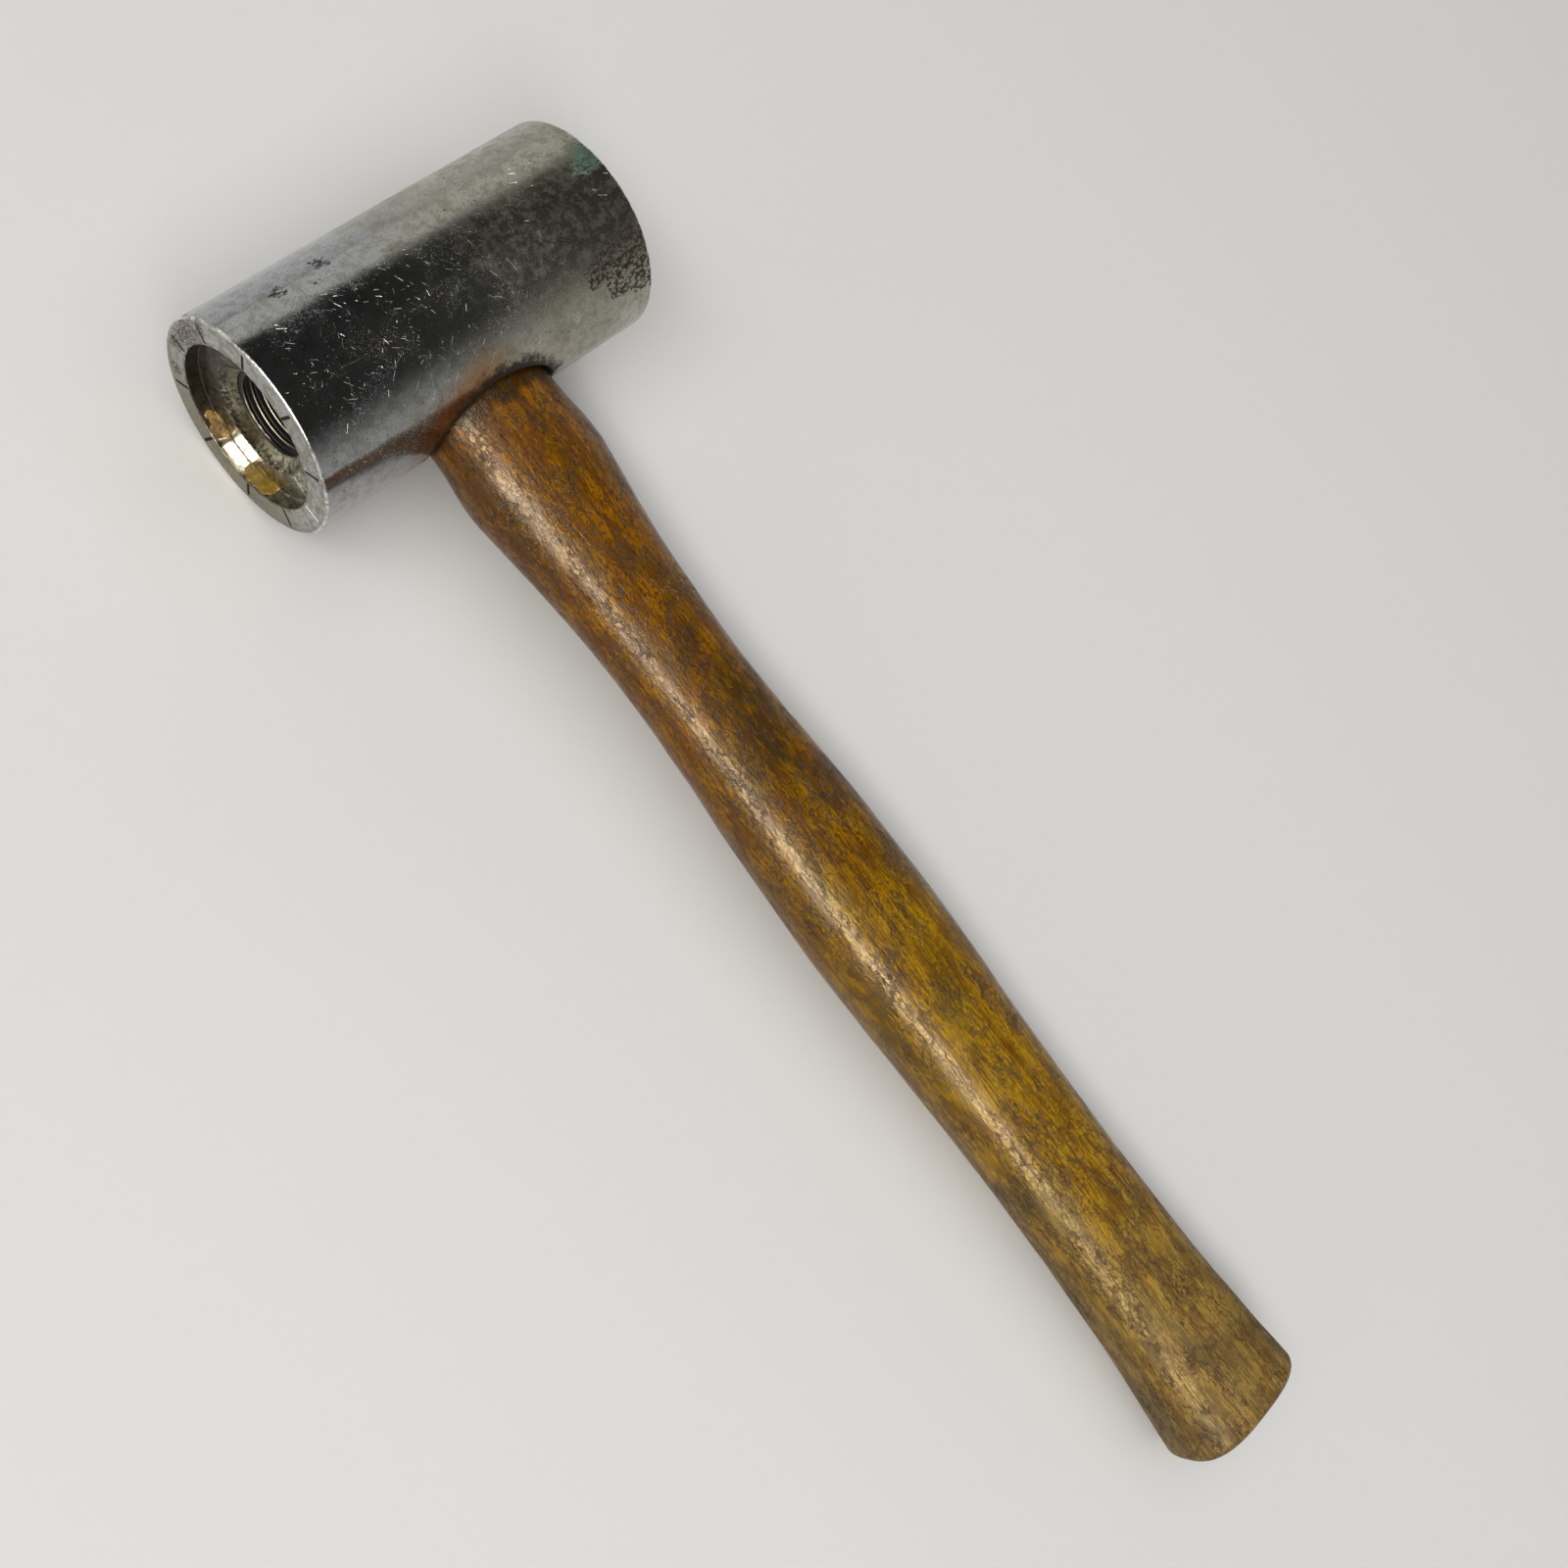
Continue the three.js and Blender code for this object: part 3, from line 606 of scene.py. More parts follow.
def turned_seat():
    """Turned steel inside each socket, oxidised and stained with dried resin, with painted shade down the threaded bore
    and painted highlights on the thread crests and radial lines.
    """
    T = Tree("turned_socket")
    P = T.head_coords()
    x, y, z = T.split(P)
    r = T.math("SQRT", T.math("ADD", T.math("MULTIPLY", y, y), T.math("MULTIPLY", z, z)))
    psi = T.math("ARCTAN2", y, z)
    depth = T.math("SUBTRACT", HALF, T.math("ABSOLUTE", x))
    turn = T.noise(T.join(T.math("MULTIPLY", r, 3.6), T.math("MULTIPLY", psi, 0.5), T.math("MULTIPLY", depth, 3.6)), 1.0, 3, 0.7)
    mott = T.noise(P, 0.33, 5, 0.68)
    fine = T.noise(P, 1.3, 4, 0.75)
    cone = T.math("MULTIPLY", T.step(depth, 3.56, 3.75), T.step(r, 12.7, 12.4))
    # the seat is still bright low down, the countersink has gone dull
    col = T.mix(T.step(mott, 0.45, 0.58), srgb(196, 192, 178), srgb(118, 110, 88))
    col = T.mix(T.step(turn, 0.50, 0.62, 0.0, 0.55), col, srgb(96, 90, 70))
    col = T.mix(T.step(fine, 0.53, 0.60, 0.0, 0.7), col, srgb(62, 54, 36))
    col = T.mix(T.math("MULTIPLY", cone, 0.6), col, T.mix(T.step(fine, 0.47, 0.55), srgb(132, 128, 104), srgb(62, 56, 36)))
    wall = T.math("MULTIPLY", T.step(r, 18.8, 18.97), T.step(T.math("ABSOLUTE", y), 3.0, 9.0))
    col = T.mix(T.math("MULTIPLY", wall, 0.55), col, srgb(70, 66, 46))
    # brown varnish stain on the +Y side, under the rust
    side = T.step(T.math("ADD", y, T.math("MULTIPLY", T.math("SUBTRACT", mott, 0.5), 20.0)), 3.0, 12.0)
    side = T.math("MULTIPLY", side, T.math("SUBTRACT", 1.0, T.math("MULTIPLY", cone, 0.45)))
    col = T.mix(T.math("MULTIPLY", side, 0.86), col, srgb(44, 34, 18))
    low = T.math("MULTIPLY", T.step(z, -4.0, -9.0), T.step(T.math("ADD", T.math("ABSOLUTE", T.math("SUBTRACT", y, 1.5)), T.math("MULTIPLY", mott, 5.0)), 9.0, 4.5))
    col = T.mix(T.math("MULTIPLY", T.math("MULTIPLY", low, cone), 0.80), col, srgb(58, 48, 30))
    stainy = T.step(T.noise(P, 0.55, 4, 0.75), 0.50, 0.60)
    col = T.mix(T.math("MULTIPLY", T.math("MULTIPLY", side, stainy), 0.8), col, srgb(24, 15, 8))
    # swept clean low down, with a few dark radial lines and two radial lines painted near white as highlights
    seat = T.math("MULTIPLY", T.step(r, 12.7, 12.9), T.math("LESS_THAN", z, 0.0))
    clean = T.math("MULTIPLY", T.step(T.math("ABSOLUTE", T.math("ADD", y, 0.4)), 4.4, 2.8), seat)
    col = T.mix(T.math("MULTIPLY", clean, T.step(fine, 0.56, 0.50, 0.35, 0.9)), col, srgb(206, 202, 188))

    def radial(deg, width, r0, r1):
        c, sn = math.cos(math.radians(deg)), math.sin(math.radians(deg))
        off = T.math("ABSOLUTE", T.math("SUBTRACT", T.math("MULTIPLY", y, sn), T.math("MULTIPLY", z, c)))
        along = T.math("ADD", T.math("MULTIPLY", y, c), T.math("MULTIPLY", z, sn))
        k = T.math("MULTIPLY", T.step(along, r0 - 0.3, r0 + 0.3), T.step(along, r1 + 0.3, r1 - 0.3))
        return T.math("MULTIPLY", T.step(off, width * 1.6, width * 0.5), k)

    dark_line = T.math("MAXIMUM", radial(268.4, 0.20, 12.9, 18.4), radial(304.0, 0.34, 13.0, 18.6))
    dark_line = T.math("MAXIMUM", dark_line, radial(280.5, 0.55, 18.7, 19.4))
    col = T.mix(T.math("MULTIPLY", dark_line, 0.9), col, srgb(24, 20, 14))
    # painted highlight: two radial glint lines on the turned floor
    glint = T.math("MULTIPLY", T.math("MAXIMUM", radial(196.0, 0.42, 13.2, 18.6), radial(231.5, 0.20, 15.4, 18.8)), T.step(fine, 0.42, 0.52))
    col = T.mix(glint, col, srgb(250, 250, 244))
    corner = T.math("MULTIPLY", T.step(T.math("ABSOLUTE", T.math("SUBTRACT", r, 18.9)), 0.55, 0.08), T.step(depth, 2.7, 3.35))
    col = T.mix(T.math("MULTIPLY", T.math("MULTIPLY", corner, T.step(fine, 0.35, 0.55)), 0.6), col, srgb(44, 34, 22))
    lip = T.math("MULTIPLY", T.step(T.math("ABSOLUTE", T.math("SUBTRACT", r, 12.2)), 0.95, 0.35), T.step(T.noise(P, 0.9, 4, 0.75), 0.485, 0.51))
    col = T.mix(T.math("MULTIPLY", lip, 0.85), col, srgb(26, 22, 16))
    # painted shade: the threaded bore is painted darker and its thread roots near black
    thread = T.step(depth, 5.9, 6.5)
    col = T.mix(T.math("MULTIPLY", thread, 0.88), col, srgb(74, 66, 52))
    root = T.math("MULTIPLY", thread, T.step(r, 9.04, 9.35))
    col = T.mix(T.math("MULTIPLY", root, 0.95), col, srgb(14, 11, 8))
    # painted highlight: the thread crests are painted pale near the top and bottom of the bore
    crest_highlight = T.math("MULTIPLY", T.math("MULTIPLY", thread, T.step(r, 9.06, 9.02)), T.step(T.math("ABSOLUTE", y), 8.2, 5.0))
    col = T.mix(T.math("MULTIPLY", crest_highlight, 0.9), col, srgb(226, 218, 190))
    # painted shade: the bore fades to near black further in
    col = T.mix(T.step(depth, 13.0, 21.0, 0.0, 0.9), col, srgb(18, 15, 11))
    rough = T.step(mott, 0.35, 0.7, 0.15, 0.27)
    rough = T.math("ADD", rough, T.math("MULTIPLY", T.math("MAXIMUM", side, T.step(fine, 0.55, 0.7)), 0.15))
    rough = T.math("MAXIMUM", rough, T.math("MULTIPLY", root, 0.5))
    rough = T.math("MAXIMUM", rough, T.math("MULTIPLY", cone, 0.42), clamp=True)
    metal = T.math("SUBTRACT", 1.0, T.math("MAXIMUM", T.math("MULTIPLY", corner, 0.4), T.math("MAXIMUM", T.math("MULTIPLY", side, 0.45), T.math("MULTIPLY", root, 0.6))))
    h = T.math("ADD", T.math("MULTIPLY", turn, 0.45), T.math("MULTIPLY", fine, 0.35))
    T.set(Base_Color=col, Roughness=rough, Metallic=metal, Anisotropic=0.6, Normal=T.bump(h, 0.03))
    tg = T.new("ShaderNodeTangent", direction_type="RADIAL", axis="X")
    T.t.links.new(tg.outputs[0], T.bsdf.inputs["Tangent"])
    return T.mat


def dried_resin():
    T = Tree("dried_resin")
    P = T.head_coords()
    x, y, z = T.split(P)
    n = T.noise(P, 0.7, 4, 0.65)
    m = T.noise(P, 2.2, 4, 0.72)
    # the crust nearer +Y is pale and bubbled, the other flat and mustard
    pale = T.step(y, -1.5, 1.5)
    flat = T.ramp(n, [(0.30, srgb(78, 56, 6)), (0.48, srgb(126, 98, 8)), (0.62, srgb(146, 118, 16)), (0.78, srgb(166, 142, 40))])
    bub = T.ramp(n, [(0.30, srgb(60, 38, 8)), (0.44, srgb(128, 90, 14)), (0.56, srgb(166, 126, 36)), (0.72, srgb(208, 178, 108))])
    col = T.mix(pale, flat, bub)
    col = T.mix(T.math("MULTIPLY", T.step(m, 0.55, 0.64), T.math("MULTIPLY_ADD", pale, 0.6, 0.3)), col, srgb(44, 28, 8))
    T.set(
        Base_Color=col,
        Roughness=T.lerp(pale, 0.38, T.step(m, 0.35, 0.65, 0.10, 0.30)),
        Normal=T.bump(T.math("MULTIPLY", T.math("ADD", T.math("MULTIPLY", m, 1.0), T.math("MULTIPLY", n, 0.9)), T.lerp(pale, 0.35, 1.3)), 0.25),
    )
    return T.mat


def handle_wood():
    T = Tree("aged_varnished_wood")
    P = T.head_coords()
    x, y, z = T.split(P)
    wob = T.noise(T.join(T.math("MULTIPLY", x, 0.05), T.math("MULTIPLY", y, 0.012), T.math("MULTIPLY", z, 0.05)), 1.0, 3, 0.5, color=True)
    wv = T.vmath("MULTIPLY_ADD", wob, (9.0, 0.0, 9.0), (-4.5, 0.0, -4.5))
    Q = T.vmath("ADD", P, wv)
    qx, qy, qz = T.split(Q)
    # growth rings: tilted sheets that run out along the handle
    sheet = T.math("ADD", T.math("ADD", T.math("MULTIPLY", qx, 0.42), T.math("MULTIPLY", qz, 0.20)), T.math("MULTIPLY", qy, 0.006))
    ring = T.math("PINGPONG", sheet, 1.0)
    ring = T.step(ring, 0.15, 0.95)
    fibre = T.noise(T.scale(Q, (2.6, 0.05, 2.6)), 1.0, 4, 0.65)
    pores = T.noise(T.scale(Q, (5.5, 0.16, 5.5)), 1.0, 3, 0.7)
    streak = T.noise(T.scale(Q, (0.9, 0.022, 0.9)), 1.0, 4, 0.6)
    patch = T.noise(T.scale(P, (0.11, 0.035, 0.11)), 1.0, 5, 0.62)
    blot = T.noise(T.scale(P, (0.30, 0.11, 0.30)), 1.0, 5, 0.7)
    grit = T.noise(T.scale(P, (1.5, 0.9, 1.5)), 1.0, 4, 0.75)

    # old varnish is deep amber by the head and thins to olive tan at the butt
    t = T.math("DIVIDE", T.math("ADD", y, 24.0), -290.0)
    t0 = t
    t = T.math("ADD", t, T.math("MULTIPLY", T.math("SUBTRACT", patch, 0.5), 0.40))
    base = T.ramp(
        t,
        [
            (0.00, srgb(150, 96, 2)),
            (0.22, srgb(150, 98, 2)),
            (0.36, srgb(146, 100, 3)),
            (0.50, srgb(172, 128, 3)),
            (0.70, srgb(174, 132, 12)),
            (0.88, srgb(168, 133, 46)),
            (1.00, srgb(164, 132, 62)),
        ],
    )
    dark = T.mix(1.0, base, (0.22, 0.16, 0.12, 1), "MULTIPLY")
    olive = T.mix(1.0, base, (0.42, 0.46, 0.50, 1), "MULTIPLY")
    warm = T.mix(1.0, base, (1.28, 1.30, 1.6, 1), "MULTIPLY")
    col = T.mix(T.math("MULTIPLY", ring, 0.22), base, dark)
    col = T.mix(T.step(streak, 0.51, 0.60, 0.0, 0.50), col, dark)
    col = T.mix(T.step(fibre, 0.52, 0.55, 0.0, 0.58), col, dark)
    col = T.mix(T.step(fibre, 0.49, 0.42, 0.0, 0.45), col, warm)
    col = T.mix(T.step(blot, 0.525, 0.555, 0.0, 0.62), col, T.mix(1.0, base, (0.40, 0.28, 0.22, 1), "MULTIPLY"))
    col = T.mix(T.step(patch, 0.52, 0.60, 0.0, 0.60), col, olive)
    col = T.mix(T.step(blot, 0.48, 0.43, 0.0, 0.40), col, warm)
    col = T.mix(T.math("MULTIPLY", T.step(grit, 0.54, 0.565, 0.0, 0.75), T.step(y, -230.0, -120.0, 0.45, 1.0)), col, dark)

    # dark blots: stains and bruises on top, and a row down the +X flank and large ones on the -Z side that darken those
    # sides
    warp = T.vmath("MULTIPLY_ADD", T.noise(T.scale(P, (0.22, 0.12, 0.22)), 1.0, 4, 0.65, color=True), (14, 22, 14), (-7, -11, -7))
    stains = [
        ((3.0, -118.0, 9.5), 8.0, 0.85),
        ((6.0, -104.0, 9.0), 7.0, 0.7),
        ((-2.0, -90.0, 10.0), 5.0, 0.75),
        ((-8.0, -84.0, 8.0), 4.0, 0.7),
        ((13.0, -84.0, 4.0), 7.0, 0.5),
        ((12.0, -50.0, 7.0), 6.0, 0.4),
        ((13.0, -135.0, 5.0), 9.0, 0.7),
        ((14.5, -155.0, 4.0), 9.0, 0.7),
        ((-10.0, -60.0, 7.0), 4.0, 0.3),
        ((14.0, -182.0, 4.0), 9.0, 0.6),
        ((13.5, -205.0, 4.0), 7.0, 0.5),
        ((-13.3, -236.0, 5.9), 4.0, 0.75),
        ((-13.0, -262.0, 3.0), 6.0, 0.4),
        ((9.0, -300.0, 8.0), 8.0, 0.45),
        ((0.0, -312.0, 8.0), 6.0, 0.4),
        ((-6.0, -150.0, -10.0), 12.0, 0.6),
        ((8.0, -210.0, -9.0), 10.0, 0.6),
        ((0.0, -60.0, -11.0), 10.0, 0.6),
        ((-8.0, -270.0, -9.0), 9.0, 0.5),
    ]
    stain = None
    for c, rr, k in stains:
        b = T.math("MULTIPLY", T.blob(P, c, rr, 0.6, warp), k)
        stain = b if stain is None else T.math("MAXIMUM", stain, b)
    stain = T.math("MULTIPLY", stain, T.step(T.noise(T.scale(P, (0.8, 0.25, 0.8)), 1.0, 4, 0.7), 0.45, 0.53, 0.40, 1.0))
    col = T.mix(stain, col, srgb(42, 30, 6))
    # reddish brown speckle where the varnish is worn
    red = T.math("MULTIPLY", T.step(T.noise(T.scale(P, (0.22, 0.10, 0.22)), 1.0, 3, 0.6), 0.52, 0.60), T.step(grit, 0.495, 0.515))
    col = T.mix(T.math("MULTIPLY", red, 0.60), col, srgb(84, 38, 8))

    # short dark nicks along the grain, dots, long drying cracks
    vo = T.voronoi(T.scale(P, (0.36, 0.13, 0.36)), 1.0)
    pick = T.split(vo.outputs["Color"])[0]
    nick = T.math("MULTIPLY", T.step(vo.outputs["Distance"], 0.17, 0.06), T.math("GREATER_THAN", pick, 0.74))
    nick = T.math("MULTIPLY", nick, T.step(grit, 0.46, 0.50))
    vo2 = T.voronoi(T.scale(P, (1.4, 0.9, 1.4)), 1.0)
    pick2 = T.split(vo2.outputs["Color"])[1]
    dots = T.math("MULTIPLY", T.step(vo2.outputs["Distance"], 0.22, 0.08), T.math("GREATER_THAN", pick2, 0.91))
    crack = T.noise(T.scale(Q, (1.6, 0.035, 1.6)), 1.0, 2, 0.5)
    crack = T.step(T.math("ABSOLUTE", T.math("SUBTRACT", crack, 0.5)), 0.014, 0.0)
    crack = T.math("MULTIPLY", crack, T.step(T.noise(T.scale(P, (0.3, 0.05, 0.3)), 1.0, 2), 0.54, 0.62))
    # fine crazing of the old varnish
    craze = T.voronoi(T.vmath("ADD", T.scale(P, (0.62, 0.19, 0.62)), T.vmath("MULTIPLY", T.noise(P, 0.6, 4, 0.7, color=True), (1.5, 1.1, 1.5))), 1.0, feature="DISTANCE_TO_EDGE")
    craze = T.step(craze.outputs["Distance"], 0.105, 0.030)
    craze = T.math("MULTIPLY", craze, T.step(T.noise(T.scale(P, (0.16, 0.07, 0.16)), 1.0, 3), 0.47, 0.53))
    marks = T.math("MAXIMUM", T.math("MAXIMUM", nick, dots), crack)
    col = T.mix(T.math("MULTIPLY", craze, 0.60), col, srgb(30, 19, 4))
    col = T.mix(T.math("MULTIPLY", marks, 0.85), col, srgb(26, 17, 5))
    col = T.mix(T.step(pores, 0.53, 0.555, 0.0, 0.45), col, dark)

    # painted shade: both sides of the handle are darkened towards the edges
    painted_side_shade = T.math("ADD", T.math("ABSOLUTE", x), T.math("MULTIPLY", T.math("SUBTRACT", patch, 0.5), 14.0))
    col = T.mix(T.step(painted_side_shade, 9.0, 16.5, 0.0, 0.55), col, T.mix(1.0, col, (0.40, 0.36, 0.28, 1), "MULTIPLY"))

    # grime and painted shade against the head, dry end grain at the butt and the tenon
    grime_and_shade_at_head = T.step(T.math("ADD", y, T.math("MULTIPLY", T.math("SUBTRACT", blot, 0.5), 9.0)), -27.0, -24.3)
    col = T.mix(T.math("MULTIPLY", grime_and_shade_at_head, 0.75), col, srgb(30, 20, 4))
    end = T.math("MAXIMUM", T.step(y, -313.2, -314.6), T.step(y, 20.0, 22.0))
    endring = T.noise(T.scale(Q, (1.1, 0.2, 1.1)), 1.0, 4, 0.7)
    end_c = T.ramp(endring, [(0.3, srgb(58, 42, 22)), (0.55, srgb(106, 80, 46)), (0.75, srgb(138, 110, 70))])
    col = T.mix(T.math("MULTIPLY", end, 0.85), col, end_c)

    dry = T.step(T.math("ADD", t0, T.math("MULTIPLY", T.math("SUBTRACT", patch, 0.5), 0.5)), 0.55, 1.0)
    rough = T.lerp(dry, 0.13, 0.46)
    rough = T.math("ADD", rough, T.step(y, -44.0, -28.0, 0.0, 0.07))
    rough = T.math("ADD", rough, T.step(blot, 0.50, 0.58, 0.0, 0.08))
    rough = T.math("ADD", rough, T.step(grit, 0.515, 0.54, 0.0, 0.10))
    rough = T.math("ADD", rough, T.math("MULTIPLY", craze, 0.12))
    rough = T.math("ADD", rough, T.math("MULTIPLY", T.math("MAXIMUM", marks, stain), 0.22))
    rough = T.math("MAXIMUM", rough, T.math("MULTIPLY", end, 0.72), clamp=True)
    h = T.math("MULTIPLY", T.noise(T.scale(P, (0.16, 0.07, 0.16)), 1.0, 2, 0.5), 1.2)
    h = T.math("ADD", h, T.math("MULTIPLY", T.noise(T.scale(P, (0.7, 0.28, 0.7)), 1.0, 3, 0.6), 0.50))
    h = T.math("ADD", h, T.math("MULTIPLY", T.step(grit, 0.47, 0.58), T.lerp(dry, -0.10, -0.16)))
    h = T.math("ADD", h, T.math("MULTIPLY", fibre, T.lerp(dry, 0.10, 0.30)))
    h = T.math("SUBTRACT", h, T.math("MULTIPLY", craze, 0.45))
    h = T.math("SUBTRACT", h, T.math("MULTIPLY", marks, 0.9))
    T.set(Base_Color=col, Roughness=rough, Normal=T.bump(h, 0.16))
    T.bsdf.inputs["Specular IOR Level"].default_value = 0.33
    T.bsdf.inputs["Specular Tint"].default_value = (1.0, 0.88, 0.68, 1.0)
    return T.mat


def wedge_wood():
    T = Tree("bare_wedge_wood")
    P = T.head_coords()
    n = T.noise(T.scale(P, (2.2, 0.2, 2.2)), 1.0, 4, 0.7)
    m = T.noise(P, 0.6, 3)
    col = T.ramp(n, [(0.3, srgb(86, 62, 36)), (0.55, srgb(142, 110, 70)), (0.75, srgb(170, 140, 96))])
    col = T.mix(T.step(m, 0.45, 0.65, 0.0, 0.6), col, srgb(52, 38, 22))
    T.set(Base_Color=col, Roughness=0.7, Normal=T.bump(n, 0.1))
    return T.mat


def wedge_steel():
    T = Tree("oxidised_wedge_steel")
    P = T.head_coords()
    n = T.noise(P, 1.3, 4, 0.7)
    col = T.ramp(n, [(0.3, srgb(60, 48, 40)), (0.55, srgb(104, 92, 80)), (0.75, srgb(150, 144, 134))])
    T.set(Base_Color=col, Roughness=T.step(n, 0.3, 0.7, 0.6, 0.36), Metallic=T.step(n, 0.35, 0.5, 0.5, 1.0), Normal=T.bump(n, 0.08))
    return T.mat


# ------------------------------------------------------------------ head ----
SEG = 144
TH = np.arange(SEG) * 2 * math.pi / SEG
CT, ST = np.cos(TH), np.sin(TH)
OUTER, RIM, SEAT = 0, 1, 2
BEVEL = 0.6


def eye_ab(y):
    return (
        smooth_interp(y, EYE[:, 0], EYE[:, 1]),
        smooth_interp(y, EYE[:, 0], EYE[:, 2]),
    )


def ring_at(r, x, sign, nr=None, nx=None):
    """Circle of radius r at depth x in from the end face on side sign."""
    px = sign * (HALF - x)
    pts = np.stack([np.full(SEG, px), r * CT, r * ST], 1)
    if nr is None:
        return pts, None
    nrm = np.stack([np.full(SEG, sign * nx), nr * CT, nr * ST], 1)
    return pts, nrm


def knock(x, th, r, sign):
    """Small dings along the rim's outer edge, in millimetres."""
    out = np.zeros_like(np.asarray(th, float))
    for t0, w, d in DINGS[sign]:
        dt = np.angle(np.exp(1j * (th - t0)))
        out += d * np.exp(-((dt / w) ** 2))
    return out


rng = random.Random(71)
DINGS = {
    s: [
        (rng.uniform(0, 2 * math.pi), rng.uniform(0.012, 0.05), rng.uniform(0.01, 0.06))
        for _ in range(18)
    ]
    for s in (-1, 1)
}


def socket(sh, sign):
    seq = []  # (r, depth, nr, nx) from the barrel inward; nx towards the face

    def arc(cr, cd, rad, a0, a1, n):
        for i in range(n + 1):
            a = a0 + (a1 - a0) * i / n
            yield (
                cr + rad * math.cos(a),
                cd - rad * math.sin(a),
                math.cos(a),
                math.sin(a),
            )

    rim = list(arc(R - BEVEL, BEVEL, BEVEL, 0.0, math.pi / 2, 5))
    rings_, nrms = [], []
    for r, d, nr, nx in rim:
        k = knock(d, TH, r, sign)
        wgt = math.sin(2 * math.atan2(nx, nr)) if 0 < nx < 1 else 0
        pts = np.stack(
            [
                np.full(SEG, sign * (HALF - d)) - sign * k * wgt * 0.7,
                (r - k * wgt) * CT,
                (r - k * wgt) * ST,
            ],
            1,
        )
        rings_.append(pts)
        nrms.append(np.stack([np.full(SEG, sign * nx), nr * CT, nr * ST], 1))
    sh.rings(rings_, nrms, RIM)
    # rim face with its score lines
    r_out, r_in = R - BEVEL, 19.2
    phase = math.radians(34.5)
    centres = [phase + 2 * math.pi * i / 10 for i in range(10)]
    if sign > 0:
        centres = [math.pi - c for c in centres]

    def depth_of(rr, tt):
        dep = 0.0
        for c in centres:
            dt = abs(math.atan2(math.sin(tt - c), math.cos(tt - c)))
            off = dt * rr
            if off < 0.5:
                q = min(1.0, max(0.0, (0.41 - off) / 0.17))
                e = min(1.0, max(0.0, (rr - 19.35) / 0.25)) * min(1.0, max(0.0, (23.75 - rr) / 0.5))
                dep = max(dep, 0.34 * q * e)
        return dep

    pts2, rad = [], []
    for rr in (r_out, r_in):
        for t in TH:
            pts2.append((rr * math.cos(t), rr * math.sin(t)))
    edges = [(i, (i + 1) % SEG) for i in range(SEG)] + [
        (SEG + i, SEG + (i + 1) % SEG) for i in range(SEG)
    ]
    radii = [19.36, 19.6, 20.2, 20.9, 21.6, 22.3, 22.9, 23.25, 23.5, 23.75, 24.05]
    for c in centres:
        for off in (-0.50, -0.41, -0.24, 0.24, 0.41, 0.50):
            line = []
            for rr in radii:
                t = c + off / rr
                line.append(len(pts2))
                pts2.append((rr * math.cos(t), rr * math.sin(t)))
            edges += list(zip(line[:-1], line[1:]))
    for k, rr in enumerate((19.8, 20.9, 22.0, 23.1, 23.9)):
        for i in range(0, SEG, 2):
            t = TH[i] + (k % 2) * math.pi / SEG
            if min(abs(math.atan2(math.sin(t - c), math.cos(t - c))) for c in centres) * rr > 0.75:
                pts2.append((rr * math.cos(t), rr * math.sin(t)))
    v2, _, f2, _, _, _ = delaunay_2d_cdt([Vector(p) for p in pts2], edges, [], 0, 1e-7)
    P3, N3 = [], []
    for v in v2:
        rr, tt = math.hypot(v[0], v[1]), math.atan2(v[1], v[0])
        dep = depth_of(rr, tt)
        P3.append((sign * (HALF - dep), v[0], v[1]))
        flat = all(
            abs(math.atan2(math.sin(tt - c), math.cos(tt - c))) * rr > 0.47 for c in centres
        )
        N3.append((sign, 0, 0) if flat else (np.nan,) * 3)
    first = sh.add(P3, N3)
    lim = (r_in * math.cos(math.pi / SEG)) ** 2 * 0.9995
    for f in f2:
        cx = sum(v2[i][0] for i in f) / len(f)
        cy = sum(v2[i][1] for i in f) / len(f)
        if cx * cx + cy * cy > lim:
            sh.face([first + i for i in f], RIM)
    # inner edge, wall, floor
    prof = [(19.2, 0.0, 0.0, 1.0), (19.08, 0.04, -0.5, 0.86), (19.02, 0.1, -0.86, 0.5), (19.0, 0.2, -1.0, 0.0)]
    sh.rings(*map(list, zip(*[ring_at(r, d, sign, nr, nx) for r, d, nr, nx in prof])), RIM)
    prof = [(19.0, 0.2, -1.0, 0.0), (19.0, 1.0, -1, 0), (19.0, 2.0, -1, 0), (19.0, 3.15, -1.0, 0.0)]
    prof += [
        (19.0 - 0.35 * (1 - math.cos(a)), 3.15 + 0.35 * math.sin(a), -math.cos(a), math.sin(a))
        for a in np.linspace(0.3, math.pi / 2, 4)
    ]
    prof += [(r, 3.5, 0.0, 1.0) for r in (17.8, 16.6, 15.4, 14.2, 13.3, 12.75)]
    prof += [(12.68, 3.515, -0.38, 0.92), (12.6, 3.57, -0.707, 0.707)]
    prof += [(12.6 - q, 3.57 + q, -0.707, 0.707) for q in (0.5, 1.0, 1.5, 2.0, 2.45)]
    prof += [(10.03, 6.14, -0.80, 0.60), (10.0, 6.2, -1.0, 0.0), (10.0, 6.38, -1.0, 0.0)]
    sh.rings(*map(list, zip(*[ring_at(r, d, sign, nr, nx) for r, d, nr, nx in prof])), SEAT)
    # right-hand thread on a helical grid
    pitch, start, d0, d1 = 2.12, 0.5755, 6.42, 23.5
    minor, major = 9.0, 10.15
    us = (0, 0.045, 0.075, 0.13, 0.20, 0.27, 0.34, 0.40, 0.45, 0.50, 0.55, 0.60, 0.66, 0.73, 0.80, 0.87, 0.925, 0.955)

